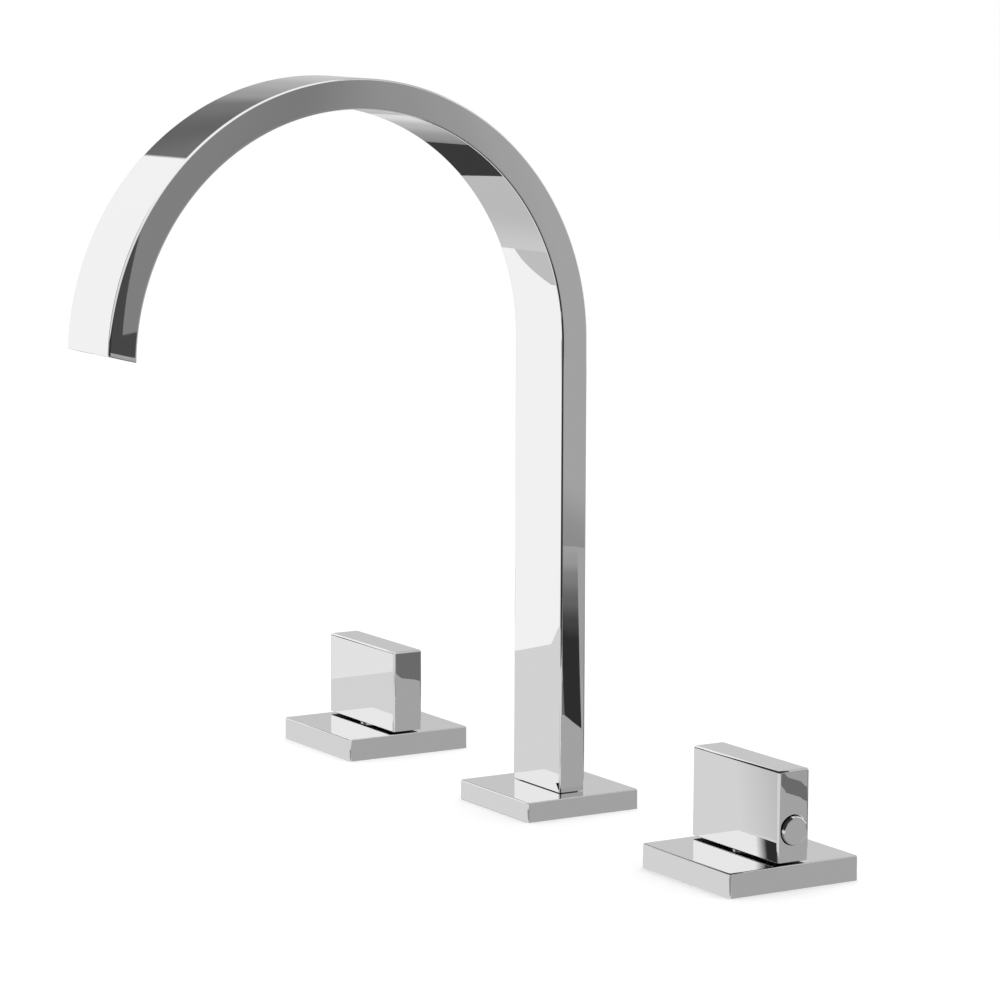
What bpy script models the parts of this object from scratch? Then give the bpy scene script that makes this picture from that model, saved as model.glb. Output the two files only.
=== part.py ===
"""A widespread basin faucet, in metres with +Z up.

A gooseneck spout bent from flat bar stands on a square plate between two block handles on square plates.
The origin is on the spout's axis at deck level, the spout reaches towards -Y and +X is the user's right.
Below the deck each group has its threaded shank, washers and nut, and the spout's shank ends in a tee for
the two valves' hoses.
"""

import math

import bmesh
import bpy
from mathutils import Matrix, Vector

# Layout and fits
HANDLE_OFFSET = 0.1367
DECK_THICKNESS = 0.020
CLEARANCE = 0.0003
CUT_OVERRUN = 0.002
SMOOTH_ANGLE = math.radians(32)
ROUND_STEPS = 20
SMALL_STEPS = 16
HEX_STEPS = 24
PIN_STEPS = 12
PORT_TURN_SHARE = 0.5
BORE_TURN_SHARE = 0.3

# Bar of the spout, and its arch
BAR_WIDTH = 0.0343
BAR_DEPTH = 0.0114
BAR_WALL = 0.0015
BAR_EDGE_RADIUS = 0.0008
BAR_EDGE_STEPS = 1
COLUMN_TOP = 0.1833
ARCH_OUTER_RADIUS = 0.1013
ARCH_STEPS = 40
OUTLET_ANGLE = math.radians(178.35)
OUTLET_SLANT = math.radians(1.5)

# Stream former in the spout's mouth
FORMER_RECESS = 0.0010
FORMER_LENGTH = 0.0080
FORMER_RIM = 0.0012
FORMER_STEPS = 4
SLOT_COUNT = 9
SLOT_WIDTH = 0.0016
OUTLET_GASKET_LENGTH = 0.0015

# Square plates
SPOUT_PLATE_WIDTH = 0.0506
SPOUT_PLATE_HEIGHT = 0.0078
HANDLE_PLATE_WIDTH = 0.0562
HANDLE_PLATE_HEIGHT = 0.00914
PLATE_CORNER_RADIUS = 0.0012
PLATE_CORNER_STEPS = 3
PLATE_EDGE_RADIUS = 0.0005
PLATE_EDGE_STEPS = 2
PLATE_TOP_WALL = 0.0025
PLATE_RIM = 0.0015
PLATE_LEDGE = 0.0023
GASKET_THICKNESS = 0.0015
GASKET_WIDTH = 0.0040

# Foot that carries the spout
FOOT_TENON_HEIGHT = 0.0180
FOOT_FLANGE_MARGIN = 0.0010
FOOT_SPIGOT_LENGTH = 0.0100
FOOT_SPIGOT_WALL = 0.0017
FOOT_PASSAGE_WIDTH = 0.0200
FOOT_TENON_WALL = 0.0015

# Stack that clamps each shank below the deck
RUBBER_WASHER_THICKNESS = 0.0030
STEEL_WASHER_THICKNESS = 0.0020
WASHER_WIDTH = 0.0090
LOCK_NUT_HEIGHT = 0.0080
LOCK_NUT_WALL = 0.0050

# Spout shank and supply tee
SPOUT_SHANK_RADIUS = 0.0100
SPOUT_SHANK_WALL = 0.0045
SPOUT_SHANK_SPARE = 0.0180
TEE_WASHER_THICKNESS = 0.0020
TEE_FLANGE_THICKNESS = 0.0025
TEE_NECK_RADIUS = 0.0072
TEE_NECK_WALL = 0.0032
TEE_NECK_LENGTH = 0.0110
TEE_NUT_WALL = 0.0032
TEE_NUT_GRIP = 0.0060
TEE_NUT_LIP = 0.0026
PORT_RADIUS = 0.0083
PORT_WALL = 0.0038
TEE_ARM_LENGTH = 0.0270

# Cartridge
CARTRIDGE_RADIUS = 0.0100
CARTRIDGE_WALL = 0.0014
SHOULDER_STEP = 0.0015
SHOULDER_THICKNESS = 0.0020
STEM_RADIUS = 0.0037
NECK_WALL = 0.0013
SEAT_SEAL_THICKNESS = 0.0025
SEAT_SEAL_WIDTH = 0.0028
DISC_THICKNESS = 0.0025
DISC_PORT_INNER = 0.0034
DISC_PORT_RIM = 0.0015
DISC_PORT_SPREAD = math.radians(64)
DISC_PORT_STEPS = 6
DRIVER_THICKNESS = 0.0025
DRIVER_WIDTH = 0.0060
DRIVER_END_GAP = 0.0012
LUG_RADIUS = 0.0012
LUG_LENGTH = 0.0015
LUG_REACH = 0.0052
WINDOW_WIDTH = 0.0070
WINDOW_HEIGHT = 0.0070
WINDOW_MARGIN = 0.0008
O_RING_WIRE = 0.00045
O_RING_GROOVE_SPARE = 0.0004
O_RING_WIRE_STEPS = 6
O_RING_DEPTH = 0.0060
STEM_CLIP_THICKNESS = 0.0006
STEM_CLIP_WIDTH = 0.0019
STEM_CLIP_BITE = 0.0008
SPLINE_DEPTH = 0.0006
SPLINE_TEETH = 8

# Valve body
BODY_WALL = 0.0037
BODY_PORT_SPARE = 0.0040
BODY_PORT_REACH = 0.0300
BODY_HEX_MARGIN = 0.0010
BODY_HEX_HEIGHT = 0.0100
INLET_RADIUS = 0.01045
INLET_WALL = 0.0045
INLET_LENGTH = 0.0140
RING_NUT_HEIGHT = 0.0028
RING_NUT_WALL = 0.0046
RING_NUT_CHAMFER = 0.0006

# Sleeve that shows under the handle
SLEEVE_WALL = 0.0008
SLEEVE_FLANGE_STEP = 0.0036

# Handle
HANDLE_LENGTH = 0.0542
HANDLE_THICKNESS = 0.0134
HANDLE_HEIGHT = 0.03345
HANDLE_GAP = 0.0008
HANDLE_CORNER_RADIUS = 0.0010
HANDLE_CORNER_STEPS = 3
HANDLE_EDGE_RADIUS = 0.0006
HANDLE_EDGE_STEPS = 2
HANDLE_BOTTOM_EDGE_RADIUS = 0.0003
INSERT_WALL = 0.0009
INSERT_INSET = 0.0008
INSERT_LENGTH = 0.0182
STEM_TOP_SPARE = 0.0013
HANDLE_BORE_SPARE = 0.0010
SET_SCREW_RADIUS = 0.0020
SET_SCREW_RECESS = 0.0005
SET_SCREW_SOCKET = 0.0010
SET_SCREW_SOCKET_FLATS = 0.0020

# Button in the handle's outer end
BUTTON_RADIUS = 0.00525
BUTTON_HEIGHT = 0.01155
BUTTON_PROUD = 0.0015
BUTTON_EDGE = 0.0009
BUTTON_EDGE_STEPS = 2
BUTTON_HEAD_LENGTH = 0.0050
BUTTON_ROD_RADIUS = 0.0018
BUTTON_ROD_TIP = 0.0015
GUIDE_WALL = 0.0030
BUTTON_CLIP_THICKNESS = 0.0006
BUTTON_CLIP_WIDTH = 0.0020
BUTTON_CLIP_BITE = 0.0006
SPRING_LENGTH = 0.0069
SPRING_RADIUS = 0.0036
SPRING_WIRE = 0.0004
SPRING_TURNS = 4.5
SPRING_STEPS = 8
SPRING_WIRE_STEPS = 5
POCKET_MARGIN = 0.0007

# Heights above the deck, for the valves
RING_NUT_BOTTOM = GASKET_THICKNESS + CLEARANCE
BODY_TOP = RING_NUT_BOTTOM + RING_NUT_HEIGHT
HANDLE_BOTTOM = HANDLE_PLATE_HEIGHT + HANDLE_GAP
SLEEVE_TOP = HANDLE_BOTTOM - CLEARANCE
STEM_CLIP_TOP = SLEEVE_TOP - CLEARANCE
STEM_CLIP_BOTTOM = STEM_CLIP_TOP - STEM_CLIP_THICKNESS
CARTRIDGE_TOP = STEM_CLIP_BOTTOM - CLEARANCE
INSERT_BOTTOM = HANDLE_BOTTOM + INSERT_INSET
INSERT_TOP = INSERT_BOTTOM + INSERT_LENGTH
STEM_TOP = INSERT_TOP + STEM_TOP_SPARE
BUTTON_AXIS = HANDLE_BOTTOM + BUTTON_HEIGHT

# Heights below the deck
RUBBER_WASHER_TOP = -DECK_THICKNESS - CLEARANCE
STEEL_WASHER_TOP = RUBBER_WASHER_TOP - RUBBER_WASHER_THICKNESS - CLEARANCE
LOCK_NUT_TOP = STEEL_WASHER_TOP - STEEL_WASHER_THICKNESS - CLEARANCE
LOCK_NUT_BOTTOM = LOCK_NUT_TOP - LOCK_NUT_HEIGHT
BODY_PORT_LEVEL = LOCK_NUT_BOTTOM - BODY_PORT_SPARE - PORT_RADIUS
WINDOW_BOTTOM = BODY_PORT_LEVEL - WINDOW_HEIGHT / 2
CAVITY_TOP = WINDOW_BOTTOM + WINDOW_HEIGHT + WINDOW_MARGIN
DRIVER_TOP = WINDOW_BOTTOM - WINDOW_MARGIN
DRIVER_BOTTOM = DRIVER_TOP - DRIVER_THICKNESS
MOVING_DISC_TOP = DRIVER_BOTTOM - CLEARANCE
FIXED_DISC_TOP = MOVING_DISC_TOP - DISC_THICKNESS - CLEARANCE
SEAT_SEAL_TOP = FIXED_DISC_TOP - DISC_THICKNESS - CLEARANCE
CARTRIDGE_BOTTOM = SEAT_SEAL_TOP - SEAT_SEAL_THICKNESS
SEAT_LEVEL = CARTRIDGE_BOTTOM - CLEARANCE
BODY_HEX_TOP = SEAT_LEVEL + BODY_HEX_HEIGHT / 2
BODY_HEX_BOTTOM = SEAT_LEVEL - BODY_HEX_HEIGHT / 2
INLET_BOTTOM = BODY_HEX_BOTTOM - INLET_LENGTH
SPOUT_SHANK_BOTTOM = LOCK_NUT_BOTTOM - SPOUT_SHANK_SPARE
TEE_WASHER_TOP = SPOUT_SHANK_BOTTOM - CLEARANCE
TEE_TOP = TEE_WASHER_TOP - TEE_WASHER_THICKNESS - CLEARANCE
TEE_FLANGE_BOTTOM = TEE_TOP - TEE_FLANGE_THICKNESS
TEE_ARM_LEVEL = TEE_FLANGE_BOTTOM - TEE_NECK_LENGTH - PORT_RADIUS

# Radii that follow from what fits in what
STEM_BORE_RADIUS = STEM_RADIUS + CLEARANCE
CARTRIDGE_NECK_RADIUS = STEM_BORE_RADIUS + NECK_WALL
SLEEVE_BORE_RADIUS = CARTRIDGE_NECK_RADIUS + CLEARANCE
SLEEVE_RADIUS = SLEEVE_BORE_RADIUS + SLEEVE_WALL
CAVITY_RADIUS = CARTRIDGE_RADIUS - CARTRIDGE_WALL
DISC_RADIUS = CAVITY_RADIUS - CLEARANCE
BODY_BORE_RADIUS = CARTRIDGE_RADIUS + CLEARANCE
BODY_RADIUS = BODY_BORE_RADIUS + BODY_WALL
SHOULDER_RADIUS = CARTRIDGE_RADIUS + SHOULDER_STEP
SPLINE_BORE_RADIUS = STEM_RADIUS + CLEARANCE
INSERT_RADIUS = SPLINE_BORE_RADIUS + INSERT_WALL
HANDLE_BORE_RADIUS = INSERT_RADIUS + CLEARANCE
RING_NUT_RADIUS = BODY_RADIUS + CLEARANCE + RING_NUT_WALL
FOOT_FLANGE_RADIUS = SPOUT_PLATE_WIDTH / 2 - PLATE_RIM - PLATE_LEDGE - FOOT_FLANGE_MARGIN
SPOUT_SHANK_BORE = SPOUT_SHANK_RADIUS - SPOUT_SHANK_WALL
TEE_NECK_BORE = TEE_NECK_RADIUS - TEE_NECK_WALL
PORT_BORE = PORT_RADIUS - PORT_WALL
ARCH_RADIUS = ARCH_OUTER_RADIUS - BAR_DEPTH / 2

# Places along the handle, counted outwards from its turning axis
HANDLE_END = HANDLE_LENGTH / 2
BUTTON_HEAD_BACK = HANDLE_END + BUTTON_PROUD - BUTTON_HEAD_LENGTH
SPRING_SEAT = BUTTON_HEAD_BACK - SPRING_LENGTH - 2 * CLEARANCE
GUIDE_INNER = SPRING_SEAT - GUIDE_WALL
BUTTON_CLIP_OUTER = GUIDE_INNER - CLEARANCE
BUTTON_CLIP_INNER = BUTTON_CLIP_OUTER - BUTTON_CLIP_THICKNESS
BUTTON_ROD_END = BUTTON_CLIP_INNER - BUTTON_ROD_TIP

# Colour, metallic and roughness of each kind of material
LOOKS = {
    "chrome": ((0.84, 0.85, 0.86, 1.0), 1.0, 0.05),
    "brass": ((0.78, 0.60, 0.30, 1.0), 1.0, 0.32),
    "steel": ((0.60, 0.60, 0.61, 1.0), 1.0, 0.30),
    "rubber": ((0.025, 0.025, 0.026, 1.0), 0.0, 0.70),
    "ceramic": ((0.90, 0.89, 0.86, 1.0), 0.0, 0.25),
    "plastic": ((0.70, 0.70, 0.70, 1.0), 0.0, 0.45),
}


def clear_scene():
    for item in list(bpy.data.objects):
        bpy.data.objects.remove(item, do_unlink=True)


def new_material(name, look):
    colour, metallic, roughness = LOOKS[look]
    material = bpy.data.materials.new(f"{name}_{look}")
    material.use_nodes = True
    shader = material.node_tree.nodes["Principled BSDF"]
    shader.inputs["Base Color"].default_value = colour
    shader.inputs["Metallic"].default_value = metallic
    shader.inputs["Roughness"].default_value = roughness
    return material


def new_axis(name, place, parent=None):
    """An empty that carries pieces; where they turn or slide, their joint's axis runs through it."""
    axis = bpy.data.objects.new(name, None)
    axis.location = place
    axis.parent = parent
    bpy.context.scene.collection.objects.link(axis)
    return axis


def new_object(name, shape, parent):
    mesh = bpy.data.meshes.new(name)
    shape.to_mesh(mesh)
    shape.free()
    item = bpy.data.objects.new(name, mesh)
    item.parent = parent
    bpy.context.scene.collection.objects.link(item)
    return item


def new_piece(name, shape, look, parent):
    piece = new_object(name, shape, parent)
    piece.data.shade_smooth()
    piece.data.set_sharp_from_angle(angle=SMOOTH_ANGLE)
    piece.data.materials.append(new_material(name, look))
    return piece


def combine(piece, shapes, operation):
    """Cuts the shapes from the piece, or joins them to it, with one Boolean each."""
    for number, shape in enumerate(shapes, start=len(piece.modifiers) + 1):
        tool = new_object(f"{piece.name}_tool_{number}", shape, piece.parent)
        tool.hide_render = True
        tool.display_type = "WIRE"
        boolean = piece.modifiers.new(tool.name, "BOOLEAN")
        boolean.operation = operation
        boolean.solver = "EXACT"
        boolean.object = tool


def cut(piece, *shapes):
    combine(piece, shapes, "DIFFERENCE")


def join(piece, *shapes):
    combine(piece, shapes, "UNION")


def loft(rings, closed=False):
    """One closed mesh through rings of equal length; its ends are capped, or joined when closed."""
    shape = bmesh.new()
    rows = [[shape.verts.new(point) for point in row] for row in rings]
    pairs = list(zip(rows, rows[1:]))
    if closed:
        pairs.append((rows[-1], rows[0]))
    else:
        shape.faces.new(rows[0])
        shape.faces.new(rows[-1])
    for lower, upper in pairs:
        for here in range(len(lower)):
            after = (here + 1) % len(lower)
            shape.faces.new((lower[here], lower[after], upper[after], upper[here]))
    caps = [face for face in shape.faces if len(face.verts) > 4]
    bmesh.ops.triangulate(shape, faces=caps)
    bmesh.ops.recalc_face_normals(shape, faces=shape.faces)
    return shape


def ring(radius, level, steps):
    """Points round the Z axis at one level; the radius is a length or a function of the angle."""
    points = []
    for step in range(steps):
        angle = math.tau * step / steps
        reach = radius(angle) if callable(radius) else radius
        points.append(Vector((reach * math.cos(angle), reach * math.sin(angle), level)))
    return points


def hexagon(half_flats):
    """Radius of a hexagon at an angle, for a ring whose steps divide by twelve."""
    sector = math.pi / 3
    return lambda angle: half_flats / math.cos((angle + sector / 2) % sector - sector / 2)


def serration(tip_radius):
    """Radius of the spline's zigzag at an angle, for a ring of two steps per tooth."""
    pitch = math.tau / SPLINE_TEETH
    return lambda angle: tip_radius - SPLINE_DEPTH * (round(2 * angle / pitch) % 2)


def turned(profile, steps=ROUND_STEPS, closed=False):
    """A piece turned about Z from (radius, level) points."""
    return loft([ring(radius, level, steps) for radius, level in profile], closed)


def washer(inner, outer, bottom, top, steps=ROUND_STEPS):
    """A flat ring between two radii, which are lengths or functions of the angle."""
    return turned([(inner, bottom), (outer, bottom), (outer, top), (inner, top)], steps, closed=True)


def rod(radius, bottom, top, steps=SMALL_STEPS, turn_share=0.0):
    """A round bar along Z, turned by a share of a step so that no edges of two bars meet exactly."""
    shape = turned([(radius, bottom), (radius, top)], steps)
    shape.transform(Matrix.Rotation(math.tau * turn_share / steps, 4, "Z"))
    return shape


def bore(radius, bottom, top, steps=SMALL_STEPS):
    """Cutter for a round passage along Z."""
    return rod(radius, bottom, top, steps, BORE_TURN_SHARE)


def box(low, high):
    shape = bmesh.new()
    bmesh.ops.create_cube(shape, size=1.0)
    low = Vector(low)
    high = Vector(high)
    shape.transform(Matrix.LocRotScale((low + high) / 2, None, high - low))
    return shape


def centred_box(width, depth, bottom, top):
    return box((-width / 2, -depth / 2, bottom), (width / 2, depth / 2, top))


def along_x(shape, side, level):
    """Turns a shape made along +Z to run outwards along X on the given side, at a level."""
    quarter = Matrix.Rotation(math.pi / 2, 4, "Y")
    half = Matrix.Rotation(0.0 if side > 0 else math.pi, 4, "Z")
    shape.transform(Matrix.Translation((0, 0, level)) @ half @ quarter)
    return shape


def round_edges(shape, radius, steps, wanted):
    """Rounds the edges for which wanted(first end, second end) is true."""
    edges = [edge for edge in shape.edges if wanted(edge.verts[0].co, edge.verts[1].co)]
    bmesh.ops.bevel(shape, geom=edges, offset=radius, segments=steps, profile=0.5, affect="EDGES")


def is_upright(first, second):
    return math.hypot(first.x - second.x, first.y - second.y) < abs(first.z - second.z)


def lies_at(level):
    return lambda first, second: max(abs(first.z - level), abs(second.z - level)) < CLEARANCE / 10


# Spout


def bar_section(shrink):
    """Rounded rectangle of the bar as (across, outwards) pairs, drawn in by shrink on each side."""
    across = BAR_WIDTH / 2 - shrink
    outwards = BAR_DEPTH / 2 - shrink
    radius = min(BAR_EDGE_RADIUS, outwards / 4)
    points = []
    for quarter, (side, face) in enumerate(((1, 1), (-1, 1), (-1, -1), (1, -1))):
        for step in range(BAR_EDGE_STEPS + 1):
            angle = math.pi / 2 * (quarter + step / BAR_EDGE_STEPS)
            points.append(
                (
                    side * (across - radius) + radius * math.cos(angle),
                    face * (outwards - radius) + radius * math.sin(angle),
                )
            )
    return points


def arch_ring(section, share):
    """The section at a share of the arch, from the column's top at 0 to the slanted outlet at 1."""
    points = []
    for across, outwards in section:
        angle = share * (OUTLET_ANGLE - OUTLET_SLANT * outwards / BAR_DEPTH)
        reach = ARCH_RADIUS + outwards
        points.append(
            Vector((across, reach * math.cos(angle) - ARCH_RADIUS, COLUMN_TOP + reach * math.sin(angle)))
        )
    return points


def share_before_outlet(distance):
    return 1 - distance / (ARCH_RADIUS * OUTLET_ANGLE)


def column_ring(section, level):
    return [Vector((across, outwards, level)) for across, outwards in section]


def make_spout_arch(parent):
    rings = []
    shares = [step / ARCH_STEPS for step in range(ARCH_STEPS + 1)]
    for shrink, order in ((0, 1), (BAR_WALL, -1)):
        section = bar_section(shrink)
        wall = [column_ring(section, SPOUT_PLATE_HEIGHT + CLEARANCE)]
        wall += [arch_ring(section, share) for share in shares]
        rings += wall[::order]
    new_piece("spout_arch", loft(rings, closed=True), "chrome", parent)


def former_frame(share):
    """Matrix that carries X, outwards and along-the-arch to the bar's centre line at a share of the arch."""
    angle = share * OUTLET_ANGLE
    outwards = Vector((0, math.cos(angle), math.sin(angle)))
    along = Vector((0, -math.sin(angle), math.cos(angle)))
    centre = outwards * ARCH_RADIUS + Vector((0, -ARCH_RADIUS, COLUMN_TOP))
    turn = Matrix((Vector((1, 0, 0)), outwards, along)).transposed()
    return Matrix.LocRotScale(centre, turn, None)


def make_stream_former(parent):
    first = share_before_outlet(FORMER_RECESS + FORMER_LENGTH)
    last = share_before_outlet(FORMER_RECESS)
    section = bar_section(BAR_WALL + CLEARANCE)
    shares = [first + (last - first) * step / FORMER_STEPS for step in range(FORMER_STEPS + 1)]
    shape = loft([arch_ring(section, share) for share in shares])
    former = new_piece("stream_former", shape, "plastic", parent)
    width = BAR_WIDTH - 2 * (BAR_WALL + CLEARANCE + FORMER_RIM)
    depth = BAR_DEPTH - 2 * (BAR_WALL + CLEARANCE + FORMER_RIM)
    frame = former_frame((first + last) / 2)
    for slot in range(SLOT_COUNT):
        middle = (width - SLOT_WIDTH) * (slot / (SLOT_COUNT - 1) - 0.5)
        reach = FORMER_LENGTH / 2 + CUT_OVERRUN
        opening = box(
            (middle - SLOT_WIDTH / 2, -depth / 2, -reach),
            (middle + SLOT_WIDTH / 2, depth / 2, reach),
        )
        opening.transform(frame)
        cut(former, opening)


def make_outlet_gasket(parent):
    start = FORMER_RECESS + FORMER_LENGTH + CLEARANCE
    shares = [share_before_outlet(start + OUTLET_GASKET_LENGTH), share_before_outlet(start)]
    rings = []
    for shrink, order in ((0, 1), (FORMER_RIM, -1)):
        section = bar_section(BAR_WALL + CLEARANCE + shrink)
        rings += [arch_ring(section, share) for share in shares][::order]
    new_piece("outlet_gasket", loft(rings, closed=True), "rubber", parent)


def make_spout_foot(parent):
    flange_bottom = GASKET_THICKNESS + CLEARANCE
    flange_top = SPOUT_PLATE_HEIGHT - PLATE_TOP_WALL - CLEARANCE
    flange_middle = (flange_bottom + flange_top) / 2
    spigot_radius = SPOUT_SHANK_BORE - CLEARANCE
    profile = [
        (spigot_radius, flange_bottom - FOOT_SPIGOT_LENGTH),
        (spigot_radius, flange_bottom),
        (FOOT_FLANGE_RADIUS, flange_bottom),
        (FOOT_FLANGE_RADIUS, flange_top),
    ]
    foot = new_piece("spout_foot", turned(profile), "brass", parent)
    tenon_width = BAR_WIDTH - 2 * (BAR_WALL + CLEARANCE)
    tenon_depth = BAR_DEPTH - 2 * (BAR_WALL + CLEARANCE)
    tenon_top = SPOUT_PLATE_HEIGHT + FOOT_TENON_HEIGHT
    tenon = centred_box(tenon_width, tenon_depth, flange_middle, tenon_top)
    round_edges(tenon, BAR_EDGE_RADIUS, BAR_EDGE_STEPS, is_upright)
    join(foot, tenon)
    passage_depth = tenon_depth - 2 * FOOT_TENON_WALL
    passage_top = tenon_top + CUT_OVERRUN
    spigot_end = flange_bottom - FOOT_SPIGOT_LENGTH - CUT_OVERRUN
    cut(
        foot,
        centred_box(FOOT_PASSAGE_WIDTH, passage_depth, flange_middle - CLEARANCE, passage_top),
        bore(spigot_radius - FOOT_SPIGOT_WALL, spigot_end, flange_middle + CLEARANCE),
    )


def make_spout_shank(parent):
    shank = washer(SPOUT_SHANK_BORE, SPOUT_SHANK_RADIUS, SPOUT_SHANK_BOTTOM, GASKET_THICKNESS)
    new_piece("spout_shank", shank, "brass", parent)


def make_supply_tee(parent):
    flange_radius = SPOUT_SHANK_RADIUS - CLEARANCE
    profile = [
        (TEE_NECK_RADIUS, TEE_ARM_LEVEL),
        (TEE_NECK_RADIUS, TEE_FLANGE_BOTTOM),
        (flange_radius, TEE_FLANGE_BOTTOM),
        (flange_radius, TEE_TOP),
    ]
    tee = new_piece("supply_tee", turned(profile, SMALL_STEPS), "brass", parent)
    arm = rod(PORT_RADIUS, -TEE_ARM_LENGTH, TEE_ARM_LENGTH, turn_share=PORT_TURN_SHARE)
    join(tee, along_x(arm, 1, TEE_ARM_LEVEL))
    reach = TEE_ARM_LENGTH + CUT_OVERRUN
    neck_bore_end = TEE_ARM_LEVEL - PORT_BORE / 4
    cut(
        tee,
        along_x(bore(PORT_BORE, -reach, reach), 1, TEE_ARM_LEVEL),
        bore(TEE_NECK_BORE, neck_bore_end, TEE_TOP + CUT_OVERRUN),
    )


def make_tee_washer(parent):
    flange_radius = SPOUT_SHANK_RADIUS - CLEARANCE
    bottom = TEE_WASHER_TOP - TEE_WASHER_THICKNESS
    shape = washer(TEE_NECK_BORE, flange_radius, bottom, TEE_WASHER_TOP, SMALL_STEPS)
    new_piece("tee_washer", shape, "rubber", parent)


def make_tee_nut(parent):
    outer = hexagon(SPOUT_SHANK_RADIUS + CLEARANCE + TEE_NUT_WALL)
    thread = SPOUT_SHANK_RADIUS + CLEARANCE
    lip = TEE_NECK_RADIUS + CLEARANCE
    lip_top = TEE_FLANGE_BOTTOM - CLEARANCE
    profile = [
        (lip, lip_top - TEE_NUT_LIP),
        (outer, lip_top - TEE_NUT_LIP),
        (outer, SPOUT_SHANK_BOTTOM + TEE_NUT_GRIP),
        (thread, SPOUT_SHANK_BOTTOM + TEE_NUT_GRIP),
        (thread, lip_top),
        (lip, lip_top),
    ]
    new_piece("tee_nut", turned(profile, HEX_STEPS, closed=True), "brass", parent)


# Plates, gaskets and clamping stacks of all three groups


def plate_hollow(width):
    """Width of the square hollow under a plate."""
    return width - 2 * (PLATE_RIM + PLATE_LEDGE)


def plate_body(width, height):
    shape = centred_box(width, width, 0, height)
    round_edges(shape, PLATE_CORNER_RADIUS, PLATE_CORNER_STEPS, is_upright)
    round_edges(shape, PLATE_EDGE_RADIUS, PLATE_EDGE_STEPS, lies_at(height))
    return shape


def make_plate(name, width, height, opening, parent):
    hollow = plate_hollow(width)
    recess = width - 2 * PLATE_RIM
    plate = new_piece(name, plate_body(width, height), "chrome", parent)
    cut(
        plate,
        centred_box(hollow, hollow, -CUT_OVERRUN, height - PLATE_TOP_WALL),
        centred_box(recess, recess, -CUT_OVERRUN, GASKET_THICKNESS + CLEARANCE),
        opening,
    )


def make_plate_gasket(name, width, parent):
    outer = width / 2 - PLATE_RIM - CLEARANCE
    inner = plate_hollow(width) / 2 + CLEARANCE
    corners = ((1, 1), (-1, 1), (-1, -1), (1, -1))
    outline = ((inner, 0), (outer, 0), (outer, GASKET_THICKNESS), (inner, GASKET_THICKNESS))
    rings = [[Vector((x * half, y * half, level)) for x, y in corners] for half, level in outline]
    new_piece(name, loft(rings, closed=True), "rubber", parent)


def make_deck_gasket(name, outer, parent):
    """The ring that seals a foot's flange or a ring nut to the deck."""
    new_piece(name, washer(outer - GASKET_WIDTH, outer, 0, GASKET_THICKNESS), "rubber", parent)


def make_clamp_stack(prefix, shank_radius, parent):
    """The rubber washer, steel washer and nut that clamp a shank to the deck from below."""
    inner = shank_radius + CLEARANCE
    outer = inner + WASHER_WIDTH
    rubber = washer(inner, outer, RUBBER_WASHER_TOP - RUBBER_WASHER_THICKNESS, RUBBER_WASHER_TOP)
    new_piece(f"{prefix}_rubber_washer", rubber, "rubber", parent)
    steel = washer(inner, outer, STEEL_WASHER_TOP - STEEL_WASHER_THICKNESS, STEEL_WASHER_TOP)
    new_piece(f"{prefix}_steel_washer", steel, "steel", parent)
    nut = washer(inner, hexagon(inner + LOCK_NUT_WALL), LOCK_NUT_BOTTOM, LOCK_NUT_TOP, HEX_STEPS)
    new_piece(f"{prefix}_lock_nut", nut, "brass", parent)


# Fixed pieces of a valve


def make_valve_body(prefix, side, parent):
    hex_outline = hexagon(BODY_RADIUS + BODY_HEX_MARGIN)
    counterbore = SHOULDER_RADIUS + CLEARANCE
    counterbore_floor = BODY_TOP - SHOULDER_THICKNESS - CLEARANCE
    inlet_bore = INLET_RADIUS - INLET_WALL
    profile = [
        (inlet_bore, INLET_BOTTOM),
        (INLET_RADIUS, INLET_BOTTOM),
        (INLET_RADIUS, BODY_HEX_BOTTOM),
        (hex_outline, BODY_HEX_BOTTOM),
        (hex_outline, BODY_HEX_TOP),
        (BODY_RADIUS, BODY_HEX_TOP),
        (BODY_RADIUS, BODY_TOP),
        (counterbore, BODY_TOP),
        (counterbore, counterbore_floor),
        (BODY_BORE_RADIUS, counterbore_floor),
        (BODY_BORE_RADIUS, SEAT_LEVEL),
        (inlet_bore, SEAT_LEVEL),
    ]
    body = new_piece(f"{prefix}_valve_body", turned(profile, HEX_STEPS, closed=True), "brass", parent)
    port_root = BODY_BORE_RADIUS + CLEARANCE
    port = rod(PORT_RADIUS, port_root, BODY_PORT_REACH, turn_share=PORT_TURN_SHARE)
    join(body, along_x(port, -side, BODY_PORT_LEVEL))
    cut(body, along_x(bore(PORT_BORE, 0, BODY_PORT_REACH + CUT_OVERRUN), -side, BODY_PORT_LEVEL))


def make_ring_nut(prefix, parent):
    inner = BODY_RADIUS + CLEARANCE
    profile = [
        (inner, RING_NUT_BOTTOM),
        (RING_NUT_RADIUS, RING_NUT_BOTTOM),
        (RING_NUT_RADIUS, BODY_TOP - RING_NUT_CHAMFER),
        (RING_NUT_RADIUS - RING_NUT_CHAMFER, BODY_TOP),
        (inner, BODY_TOP),
    ]
    new_piece(f"{prefix}_ring_nut", turned(profile, closed=True), "brass", parent)


def make_neck_sleeve(prefix, parent):
    flange_bottom = BODY_TOP + CLEARANCE
    flange_top = HANDLE_PLATE_HEIGHT - PLATE_TOP_WALL - CLEARANCE
    flange_radius = SLEEVE_RADIUS + SLEEVE_FLANGE_STEP
    profile = [
        (SLEEVE_BORE_RADIUS, flange_bottom),
        (flange_radius, flange_bottom),
        (flange_radius, flange_top),
        (SLEEVE_RADIUS, flange_top),
        (SLEEVE_RADIUS, SLEEVE_TOP),
        (SLEEVE_BORE_RADIUS, SLEEVE_TOP),
    ]
    new_piece(f"{prefix}_neck_sleeve", turned(profile, closed=True), "chrome", parent)


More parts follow.
